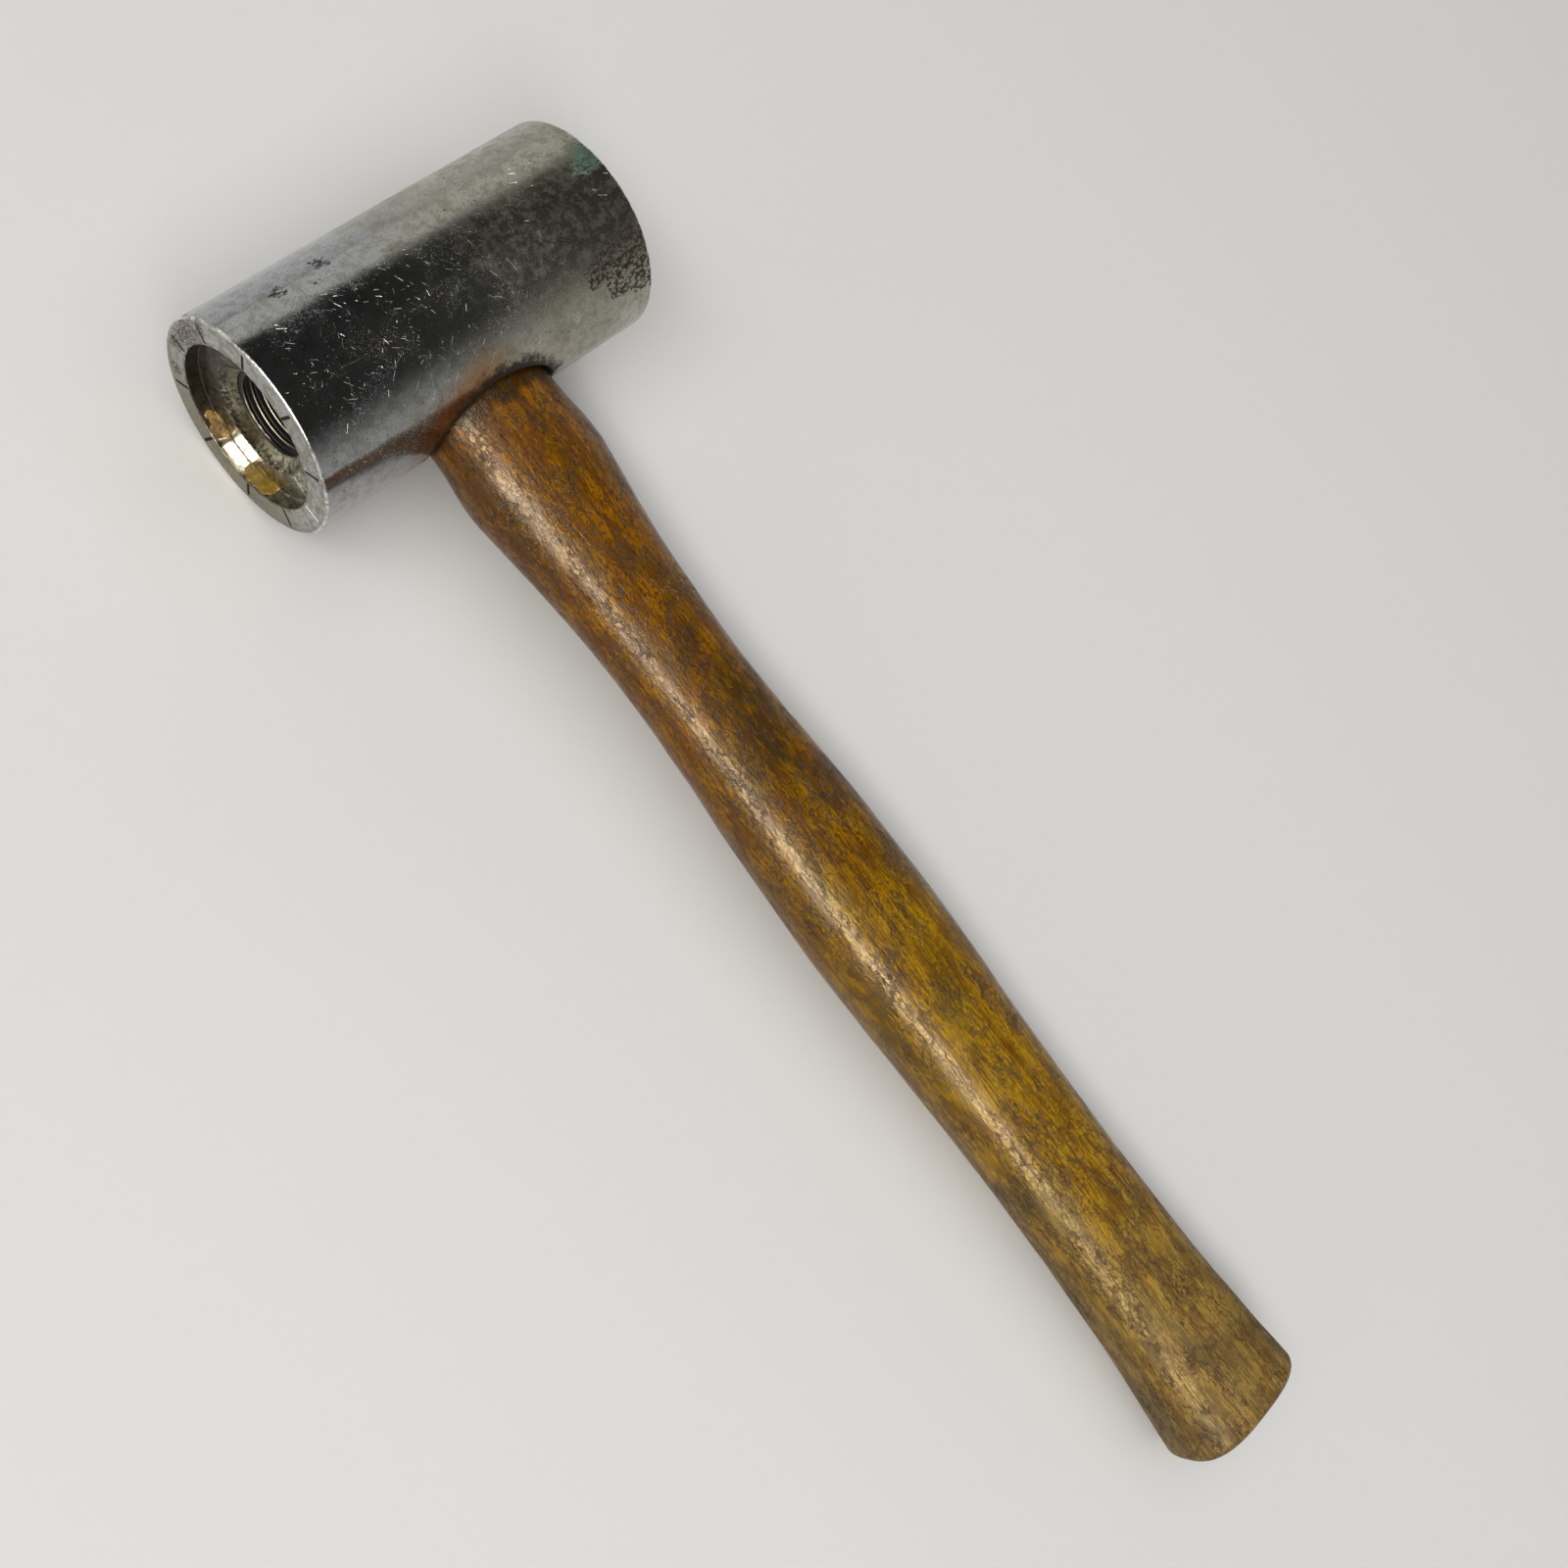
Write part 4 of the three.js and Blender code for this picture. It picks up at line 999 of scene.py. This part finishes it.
    def thread(th, d):
        u = ((d - 3.57) / pitch - th / (2 * math.pi) - start) % 1.0
        u = min(u, 1 - u)  # 0 at the crest, 0.5 at the root
        q = min(1.0, max(0.0, (u - 0.07) / 0.33))
        q = q + 0.08 * math.sin(math.pi * q)
        fade = min(1.0, max(0.0, (22.3 - d) / 1.6))
        return min(minor + (major - minor) * min(1.0, q) * fade, 9.98 + (d - d0))

    turns = int((d1 - 3.57) / pitch) + 2
    grid = []
    for k in range(-1, turns):
        for u in us:
            row = []
            for j in range(SEG + 1):
                th = 2 * math.pi * j / SEG
                d = 3.57 + (k + u + start + j / SEG) * pitch
                d = min(max(d, d0), d1)
                rr = thread(th, d)
                # half turn of the near end about Z keeps the hand of the thread
                row.append((sign * (HALF - d), -sign * rr * math.cos(th), rr * math.sin(th)))
            grid.append(row)
    first = sh.add([p for row in grid for p in row])
    w = SEG + 1
    for i in range(len(grid) - 1):
        for j in range(SEG):
            a = first + i * w + j
            sh.face((a, a + 1, a + w + 1, a + w), SEAT)
    lead = [ring_at(10.0, 6.38, sign)[0], np.array(grid[0][:SEG])]
    if sign > 0:
        lead[0] = lead[0] * np.array([1, -1, 1])
    sh.rings(lead, None, SEAT)
    # drill point
    ring1, _ = ring_at(minor, d1, sign)
    ring2, _ = ring_at(4.0, d1 + 2.0, sign)
    ring3, _ = ring_at(1.0, d1 + 3.9, sign)
    fr = sh.rings([ring1, ring2, ring3], None, SEAT)
    c = sh.add([[sign * (HALF - d1 - 4.0), 0, 0]])
    for j in range(SEG):
        sh.face((fr[2] + j, fr[2] + (j + 1) % SEG, c), SEAT)


def build_head(mats):
    sh = Shell()
    for sign in (-1, 1):
        socket(sh, sign)
    # eye mouths on the barrel
    n = 112
    t = np.arange(n) * 2 * math.pi / n
    loops = {}
    for side in (-1, 1):
        y = np.full(n, side * 23.0)
        for _ in range(40):
            a, b = eye_ab(y)
            zz = b * np.sin(t)
            y = side * np.sqrt(R * R - zz * zz)
        a, b = eye_ab(y)
        E = np.stack([HX + a * np.cos(t), y, b * np.sin(t)], 1)
        phi = np.arctan2(E[:, 2], E[:, 1])
        if side < 0:
            phi = np.where(phi < 0, phi + 2 * math.pi, phi)
        uv = np.stack([E[:, 0], R * phi], 1)
        tan = np.roll(uv, -1, 0) - np.roll(uv, 1, 0)
        nor = np.stack([tan[:, 1], -tan[:, 0]], 1)
        nor /= np.linalg.norm(nor, axis=1, keepdims=True)
        mid = uv.mean(0)
        if ((uv - mid) * nor).sum() < 0:
            nor = -nor
        fil = 0.75 if side < 0 else 0.5
        A = uv + fil * nor
        loops[side] = dict(E=E, A=A, fil=fil, t=t)
    # barrel surface, unrolled
    s_lo, s_hi = -0.5 * math.pi * R, 1.5 * math.pi * R
    xe = HALF - BEVEL
    pts, edges = [], []
    xs = np.linspace(-xe, xe, 47)
    cols = SEG  # rows round the barrel
    ss = np.linspace(s_lo, s_hi, cols + 1)

    def chain(ids, close=False):
        edges.extend(zip(ids[:-1], ids[1:]))
        if close:
            edges.append((ids[-1], ids[0]))

    grid_id = {}
    border = []
    for i, xx in enumerate(xs):
        for j, s in enumerate(ss):
            on_edge = i in (0, len(xs) - 1) or j in (0, cols)
            if not on_edge:
                skip = False
                for side, L in loops.items():
                    d = np.hypot(L["A"][:, 0] - xx, L["A"][:, 1] - s).min()
                    a0, b0 = (17.5, 13.0) if side < 0 else (11.6, 6.2)
                    cs = math.pi * R if side < 0 else 0.0
                    bb = R * math.asin(b0 / R)
                    inside = ((xx - HX) / (a0 + 0.4)) ** 2 + ((s - cs) / (bb + 0.4)) ** 2 < 1
                    if d < 0.8 or inside:
                        skip = True
                if skip:
                    continue
            grid_id[(i, j)] = len(pts)
            pts.append((xx, s))
    border += [grid_id[(0, j)] for j in range(cols + 1)]
    border += [grid_id[(i, cols)] for i in range(1, len(xs))]
    border += [grid_id[(len(xs) - 1, j)] for j in range(cols - 1, -1, -1)]
    border += [grid_id[(i, 0)] for i in range(len(xs) - 2, 0, -1)]
    chain(border, True)
    for side, L in loops.items():
        ids = list(range(len(pts), len(pts) + n))
        pts += [tuple(p) for p in L["A"]]
        chain(ids, True)
    v2, _, f2, _, _, _ = delaunay_2d_cdt([Vector(p) for p in pts], edges, [], 0, 1e-7)
    V = np.array([(v[0], v[1]) for v in v2])
    ph = V[:, 1] / R
    P3 = np.stack([V[:, 0], R * np.cos(ph), R * np.sin(ph)], 1)
    N3 = np.stack([np.zeros(len(V)), np.cos(ph), np.sin(ph)], 1)
    first = sh.add(P3, N3)

    def inside_loop(p, loop):
        x0, y0 = p
        x1, y1 = loop[:, 0], loop[:, 1]
        x2, y2 = np.roll(x1, -1), np.roll(y1, -1)
        hit = ((y1 > y0) != (y2 > y0)) & (x0 < (x2 - x1) * (y0 - y1) / (y2 - y1 + 1e-30) + x1)
        return hit.sum() % 2 == 1

    for f in f2:
        c = V[list(f)].mean(0)
        if any(inside_loop(c, L["A"]) for L in loops.values()):
            continue
        sh.face([first + i for i in f], OUTER)
    # rounded mouths and the wall of the eye
    mouths = {}
    for side, L in loops.items():
        E = L["E"]
        ph = L["A"][:, 1] / R
        A3 = np.stack([L["A"][:, 0], R * np.cos(ph), R * np.sin(ph)], 1)
        yb = E[:, 1] - side * L["fil"] * 1.2
        a, b = eye_ab(yb)
        B3 = np.stack([HX + a * np.cos(t), yb, b * np.sin(t)], 1)
        rr, nn = [], []
        for q in np.linspace(0, 1, 7):
            rr.append((1 - q) ** 2 * A3 + 2 * q * (1 - q) * E + q * q * B3)
            nn.append(np.full((n, 3), np.nan))
        nn[0] = np.stack([np.zeros(n), np.cos(ph), np.sin(ph)], 1)
        sh.rings(rr, nn, OUTER)
        mouths[side] = (yb, t)
    y0, y1 = mouths[-1][0], mouths[1][0]
    wall = []
    for q in np.linspace(0, 1, 22):
        yy = y0 + (y1 - y0) * q
        a, b = eye_ab(yy)
        wall.append(np.stack([HX + a * np.cos(t), yy, b * np.sin(t)], 1))
    sh.rings(wall, None, OUTER)
    me = sh.mesh("head_shell")
    return piece("head_shell", me, *mats)


# ---------------------------------------------------------------- handle ----
def build_handle(mats):
    n = 144
    t = np.arange(n) * 2 * math.pi / n
    ct, st = np.cos(t), np.sin(t)
    g = GRIP[::-1]
    flush = R - 0.15
    rr = random.Random(11)
    dents = []
    for _ in range(95):
        dents.append(
            (
                rr.uniform(-305, -32),
                rr.uniform(0, 2 * math.pi),
                rr.uniform(0.8, 3.2),
                rr.uniform(0.9, 2.6),
                rr.uniform(0.05, 0.26),
            )
        )
    phases = [(rr.uniform(0, 6.28), rr.uniform(0, 6.28)) for _ in range(10)]

    def shape(y, a, b, k):
        ex = np.sign(ct) * np.abs(ct) ** (2 / k)
        ez = np.sign(st) * np.abs(st) ** (2 / k)
        return np.stack([HX + a * ex, np.full(n, y), b * ez], 1)

    def wear(P, y, amount):
        """Uneven hand-shaved surface, with dents that only go inwards."""
        ang = np.arctan2(P[:, 2] / 0.73, P[:, 0] - HX)
        d = np.zeros(n)
        for i, (p1, p2) in enumerate(phases):
            d += 0.035 * np.sin(ang * (1 + i % 5) + p1 + y * (0.02 + 0.016 * i)) * np.sin(y * (0.05 + 0.013 * i) + p2)
        for y0, a0, sy, sa, dep in dents:
            if abs(y - y0) < 3 * sy:
                da = np.angle(np.exp(1j * (ang - a0))) * 14.0
                d -= dep * math.exp(-(((y - y0) / sy) ** 2)) * np.exp(-((da / sa) ** 2))
        d = np.minimum(d, 0.10) - 0.06
        nrm = np.stack([(P[:, 0] - HX) * 0.73, np.zeros(n), P[:, 2] / 0.73], 1)
        nrm /= np.linalg.norm(nrm, axis=1, keepdims=True) + 1e-9
        return P + nrm * (d * amount)[:, None]

    rings = []
    # butt: from the centre of the end face outwards
    y0, a0, ra, k0 = GRIP[-1]
    b0 = a0 * ra
    for f in (0.02, 0.2, 0.4, 0.6, 0.78, 0.92):
        rings.append(shape(y0 - BUTT_ROUND - BUTT_DOME * (1 - f * f), (a0 - BUTT_ROUND) * f, (b0 - BUTT_ROUND) * f, k0))
    for i in range(9):
        a = math.pi / 2 * (1 - i / 9)
        ins = BUTT_ROUND * (1 - math.cos(a))
        P = shape(y0 - BUTT_ROUND * math.sin(a), a0 - ins, b0 - ins, k0)
        rings.append(wear(P, y0, 0.4 + 0.6 * i / 9))
    ys = np.concatenate([np.arange(y0, -60, 0.85), np.arange(-60, -24, 0.6), [-24.0]])
    for y in ys:
        a = smooth_interp(y, g[:, 0], g[:, 1])
        ra = smooth_interp(y, g[:, 0], g[:, 2])
        k = smooth_interp(y, g[:, 0], g[:, 3])
        amt = float(smoothstep(-24, -32, y)) if y > -32 else 1.0
        rings.append(wear(shape(y, a, a * ra, k), y, amt))
    ten = np.array(
        [[-24.0, 16.55, 11.585, 2.1], [-20.5, 16.45, 11.35, 2.05]]
        + [[e[0], e[1] - GAP - 0.05, e[2] - GAP - 0.05, 2.0] for e in EYE if e[0] > -18]
    )
    for y in np.arange(-22.5, 27.0, 1.5):
        a = np.interp(y, ten[:, 0], ten[:, 1])
        b = np.interp(y, ten[:, 0], ten[:, 2])
        k = np.interp(y, ten[:, 0], ten[:, 3])
        P = shape(y, a, b, k)
        lim = np.sqrt(flush * flush - P[:, 2] ** 2)
        P[:, 1] = np.minimum(P[:, 1], lim)
        rings.append(P)
        last = (a, b)
        if (P[:, 1] < y).all():
            break
    top = rings[-1]
    for f in (0.9, 0.75, 0.55, 0.35, 0.15, 0.02):
        P = top.copy()
        P[:, 0] = HX + (top[:, 0] - HX) * f
        P[:, 2] = top[:, 2] * f
        P[:, 1] = np.sqrt(flush * flush - P[:, 2] ** 2)
        rings.append(P)
    sh = Shell()
    first = sh.rings(rings, None, 0)
    sh.face([first[0] + j for j in range(n)], 0)
    sh.face([first[-1] + n - 1 - j for j in range(n)], 0)
    me = sh.mesh("handle_body", weld=1e-4)
    ob = piece("handle_body", me, *mats)

    # kerf for the two wedges
    def prism(name, y_lo, hx0, hz0, y_hi, hx1, hz1, cx):
        P = [
            (cx + sx * hx, y, sz * hz)
            for y, hx, hz in ((y_lo, hx0, hz0), (y_hi, hx1, hz1))
            for sx, sz in ((1, 1), (-1, 1), (-1, -1), (1, -1))
        ]
        F = [(0, 1, 2, 3), (7, 6, 5, 4), (0, 4, 5, 1), (1, 5, 6, 2), (2, 6, 7, 3), (3, 7, 4, 0)]
        m = bpy.data.meshes.new(name)
        m.from_pydata(to_row(P).tolist(), [], F)
        bm = bmesh.new()
        bm.from_mesh(m)
        bmesh.ops.recalc_face_normals(bm, faces=bm.faces)
        bm.to_mesh(m)
        bm.free()
        o = bpy.data.objects.new(name, m)
        bpy.context.scene.collection.objects.link(o)
        return o

    g_ = GAP - 0.1
    cuts = [
        prism("cut_a", 4.0 - g_, 20, 0.45 + g_, 30, 20, 1.7 * 1.12 + g_, HX),
        prism("cut_b", 12.0 - g_, 0.4 + g_, 4.3 + g_, 30, 1.2 + g_, 4.3 + g_, HX + 0.8),
    ]
    for c in cuts:
        m = ob.modifiers.new("kerf", "BOOLEAN")
        m.operation = "DIFFERENCE"
        m.solver = "EXACT"
        m.object = c
    dg = bpy.context.evaluated_depsgraph_get()
    new = bpy.data.meshes.new_from_object(ob.evaluated_get(dg))
    ob.modifiers.clear()
    old = ob.data
    ob.data = new
    bpy.data.meshes.remove(old)
    for c in cuts:
        m = c.data
        bpy.data.objects.remove(c)
        bpy.data.meshes.remove(m)
    ob.data.polygons.foreach_set("use_smooth", [True] * len(ob.data.polygons))
    ob.data.set_sharp_from_angle(angle=math.radians(48))
    return ob


# ---------------------------------------------------------------- residue ----
def build_resin(mat):
    """Two thin crusts of dried resin in the corner of the near seat."""
    out = []
    spec = (
        # name, first and last angle, thickness, seed, blobs (angle, path, radii)
        ("resin_crust_a", 278.0, 305.0, 0.30, 3, ((289.5, 2.2, 5.5, 1.6), (296.0, 2.6, 4.0, 1.2), (285.0, 3.0, 2.6, 0.8), (300.5, 1.9, 2.2, 0.9), (291.0, 4.0, 2.4, 0.7))),
        ("resin_crust_b", 229.0, 265.0, 0.22, 8, ((240.0, 2.2, 6.5, 1.7), (249.0, 2.3, 6.5, 1.8), (256.0, 2.5, 4.0, 1.3), (236.0, 3.3, 3.2, 0.9), (247.0, 4.4, 4.5, 0.9))),
    )
    for name, c0, c1, thick, seed, blobs in spec:
        rr = random.Random(seed)
        ph = [(rr.uniform(0, 6.28), rr.uniform(0.6, 1.6)) for _ in range(14)]

        def ripple(a_, w_):
            q = 0.0
            for i, (p, k) in enumerate(ph):
                q += math.sin(p + (0.16 + 0.15 * i) * a_ * k * 2.1) * math.sin(p * 1.7 + (0.7 + 0.42 * i) * w_ * k) / (1 + 0.22 * i)
            return q / 2.4

        nu, nv = 120, 70
        top, bot = [], []
        for i in range(nu):
            ang = c0 + (c1 - c0) * i / (nu - 1)
            for j in range(nv):
                w = 0.25 + 5.6 * j / (nv - 1)
                f = max(1.0 - math.hypot((ang - ba) / ra, (w - bw) / rw) for ba, bw, ra, rw in blobs)
                f += 0.22 * ripple(ang, w)
                f = min(f, 0.9 * min((ang - c0) / 1.2, (c1 - ang) / 1.2, (w - 0.25) / 0.35, (5.85 - w) / 0.35) - 0.25)
                hgt = -0.10 if f <= -0.25 else (thick + 0.10) * (1 - math.exp(-(f + 0.25) / 0.16)) - 0.10
                hgt += 0.07 * ripple(ang * 1.9 + 3, w * 1.7) * min(1.0, max(0.0, f * 3))
                th = math.radians(ang)
                # path: down the wall, round the corner, in along the floor
                if w < 3.0:
                    r_, d_, nr, nx = 19.0, w, -1.0, 0.0
                elif w < 3.7:
                    a = (w - 3.0) / 0.7 * math.pi / 2
                    r_, d_ = 19.0 - 0.45 * (1 - math.cos(a)), 3.0 + 0.5 * math.sin(a)
                    nr, nx = -math.cos(a), math.sin(a)
                else:
                    r_, d_, nr, nx = 18.55 - (w - 3.7), 3.5, 0.0, 1.0
                for lst, h_ in ((top, max(hgt, -0.10)), (bot, -0.14)):
                    r2 = r_ + nr * h_
                    d2 = d_ - nx * h_
                    lst.append((-(HALF - d2), r2 * math.cos(th), r2 * math.sin(th)))
        sh = Shell()
        a = sh.add(top)
        b = sh.add(bot)
        for i in range(nu - 1):
            for j in range(nv - 1):
                p = i * nv + j
                q = (p, p + 1, p + nv + 1, p + nv)
                sh.face([a + k for k in q])
                sh.face([b + k for k in reversed(q)])
        rim = [(i, 0) for i in range(nu)] + [(nu - 1, j) for j in range(1, nv)]
        rim += [(i, nv - 1) for i in range(nu - 2, -1, -1)] + [(0, j) for j in range(nv - 2, 0, -1)]
        ids = [i * nv + j for i, j in rim]
        for p, q in zip(ids, ids[1:] + ids[:1]):
            sh.face((a + p, a + q, b + q, b + p))
        out.append(piece(name, sh.mesh(name), mat))
    return out


# ------------------------------------------------------------- assemble ----
m_outer, m_rim, m_seat = plated_outer(), plated_rim(), turned_seat()
head = build_head((m_outer, m_rim, m_seat))
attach(head, "root")
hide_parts("head_body")

handle = build_handle((handle_wood(),))
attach(handle, "root")
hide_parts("handle")

for name, mat in (("wood_wedge", wedge_wood()), ("steel_wedge", wedge_steel())):
    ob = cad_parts[name]
    for s in ob.material_slots:
        s.material = mat
    if not ob.material_slots:
        ob.data.materials.append(mat)
    bv = ob.modifiers.new("worn_edges", "BEVEL")
    bv.width = 0.00012
    bv.segments = 2
    bv.limit_method = "ANGLE"
    bv.angle_limit = math.radians(40)

for ob in build_resin(dried_resin()):
    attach(ob, "root")

# ----------------------------------------------------------------- stage ----
scene = bpy.context.scene
scene.view_settings.view_transform = "Standard"

fm = bpy.data.meshes.new("floor")
S = 6.0
fm.from_pydata([(-S, -S, 0), (S, -S, 0), (S, S, 0), (-S, S, 0)], [], [(0, 1, 2, 3)])
floor = bpy.data.objects.new("floor", fm)
floor.location.z = -0.0002
scene.collection.objects.link(floor)
FT = Tree("pale_floor")
FT.set(Base_Color=(0.76, 0.76, 0.76, 1), Roughness=0.85)
FT.bsdf.inputs["Specular IOR Level"].default_value = 0.2
fm.materials.append(FT.mat)

world = bpy.data.worlds.new("studio")
scene.world = world
world.use_nodes = True
wt = world.node_tree
wt.nodes.clear()


def wmath(op, a, b=None):
    n = wt.nodes.new("ShaderNodeMath")
    n.operation = op
    for i, v in enumerate((a, b)):
        if v is None:
            continue
        if isinstance(v, bpy.types.NodeSocket):
            wt.links.new(v, n.inputs[i])
        else:
            n.inputs[i].default_value = v
    return n.outputs[0]


def wstep(x, a, b, lo_, hi_):
    n = wt.nodes.new("ShaderNodeMapRange")
    n.interpolation_type = "SMOOTHSTEP"
    wt.links.new(x, n.inputs[0])
    for i, v in enumerate((a, b, lo_, hi_)):
        n.inputs[i + 1].default_value = v
    return n.outputs[0]


wc = wt.nodes.new("ShaderNodeTexCoord")
ws = wt.nodes.new("ShaderNodeSeparateXYZ")
wt.links.new(wc.outputs["Generated"], ws.inputs[0])
dx, dy, dz = ws.outputs
el_back = wstep(dz, 0.40, 0.56, 0.72, 0.035)  # towards +Y: pale wall, then dark
el_front = wstep(dz, -0.05, 0.72, 0.52, 0.04)  # towards -Y: slow fall-off
side = wstep(dy, -0.25, 0.35, 0.0, 1.0)
mixn = wt.nodes.new("ShaderNodeMix")
mixn.data_type = "FLOAT"
wt.links.new(side, mixn.inputs[0])
wt.links.new(el_front, mixn.inputs[2])
wt.links.new(el_back, mixn.inputs[3])
left = wstep(dx, -0.15, -0.55, 0.0, 0.05)
lum = wmath("ADD", mixn.outputs[0], left)
bg = wt.nodes.new("ShaderNodeBackground")
wt.links.new(lum, bg.inputs["Strength"])
bg.inputs["Color"].default_value = (1.0, 0.98, 0.90, 1)
bgc = wt.nodes.new("ShaderNodeBackground")
bgc.inputs["Color"].default_value = (0.90, 0.90, 0.90, 1)
bgc.inputs["Strength"].default_value = 1.0
lp = wt.nodes.new("ShaderNodeLightPath")
mx = wt.nodes.new("ShaderNodeMixShader")
wt.links.new(lp.outputs["Is Camera Ray"], mx.inputs[0])
wt.links.new(bg.outputs[0], mx.inputs[1])
wt.links.new(bgc.outputs[0], mx.inputs[2])
wo = wt.nodes.new("ShaderNodeOutputWorld")
wt.links.new(mx.outputs[0], wo.inputs[0])


def area(name, at, to, w, h, power, colour=(1, 1, 1), diffuse=True, glossy=True):
    """Softbox: at and to in the head frame, millimetres; w across, h along Y."""
    ld = bpy.data.lights.new(name, "AREA")
    ld.shape = "RECTANGLE"
    ld.size, ld.size_y = w, h
    ld.energy = power
    ld.color = colour
    lob = bpy.data.objects.new(name, ld)
    scene.collection.objects.link(lob)
    lob.visible_diffuse, lob.visible_glossy = diffuse, glossy
    p, q = Vector(to_row(at)), Vector(to_row(to))
    back = (p - q).normalized()
    up = Vector((0, 1, 0))
    right = up.cross(back).normalized()
    up = back.cross(right)
    lob.matrix_world = Matrix.Translation(p) @ Matrix((right, up, back)).transposed().to_4x4()
    return lob


area("key_softbox", (-640, -140, 960), (0, -110, 0), 0.24, 1.5, 6.0, (1.0, 0.97, 0.90))
area("key_sheen", (-642, -140, 963), (0, -110, 0), 0.50, 1.5, 38.0, (1.0, 0.98, 0.93), diffuse=False)
area("overhead", (-300, -100, 3500), (0, -100, 0), 6.0, 6.0, 105.0, glossy=False)

cam = bpy.data.cameras.new("camera")
cam.sensor_width = 36.0
cam.lens = 1915.82 * 36.0 / 1600.0
cam.clip_start = 0.01
cob = bpy.data.objects.new("camera", cam)
scene.collection.objects.link(cob)
MV = np.array(
    [
        [0.67194312, -0.59240594, 0.44446331],
        [-0.58086476, -0.79386094, -0.17994704],
        [0.45944376, -0.1372589, -0.87753714],
    ]
)
axes = np.stack([MV[0], -MV[1], -MV[2]], 1)  # columns: right, up, back
axes = ROT @ axes
mw = Matrix([list(map(float, r_)) + [0.0] for r_ in axes] + [[0, 0, 0, 1]])
mw.translation = Vector(to_row((-191.7246675, -70.4229603, 374.1126615)))
cob.matrix_world = mw
scene.camera = cob
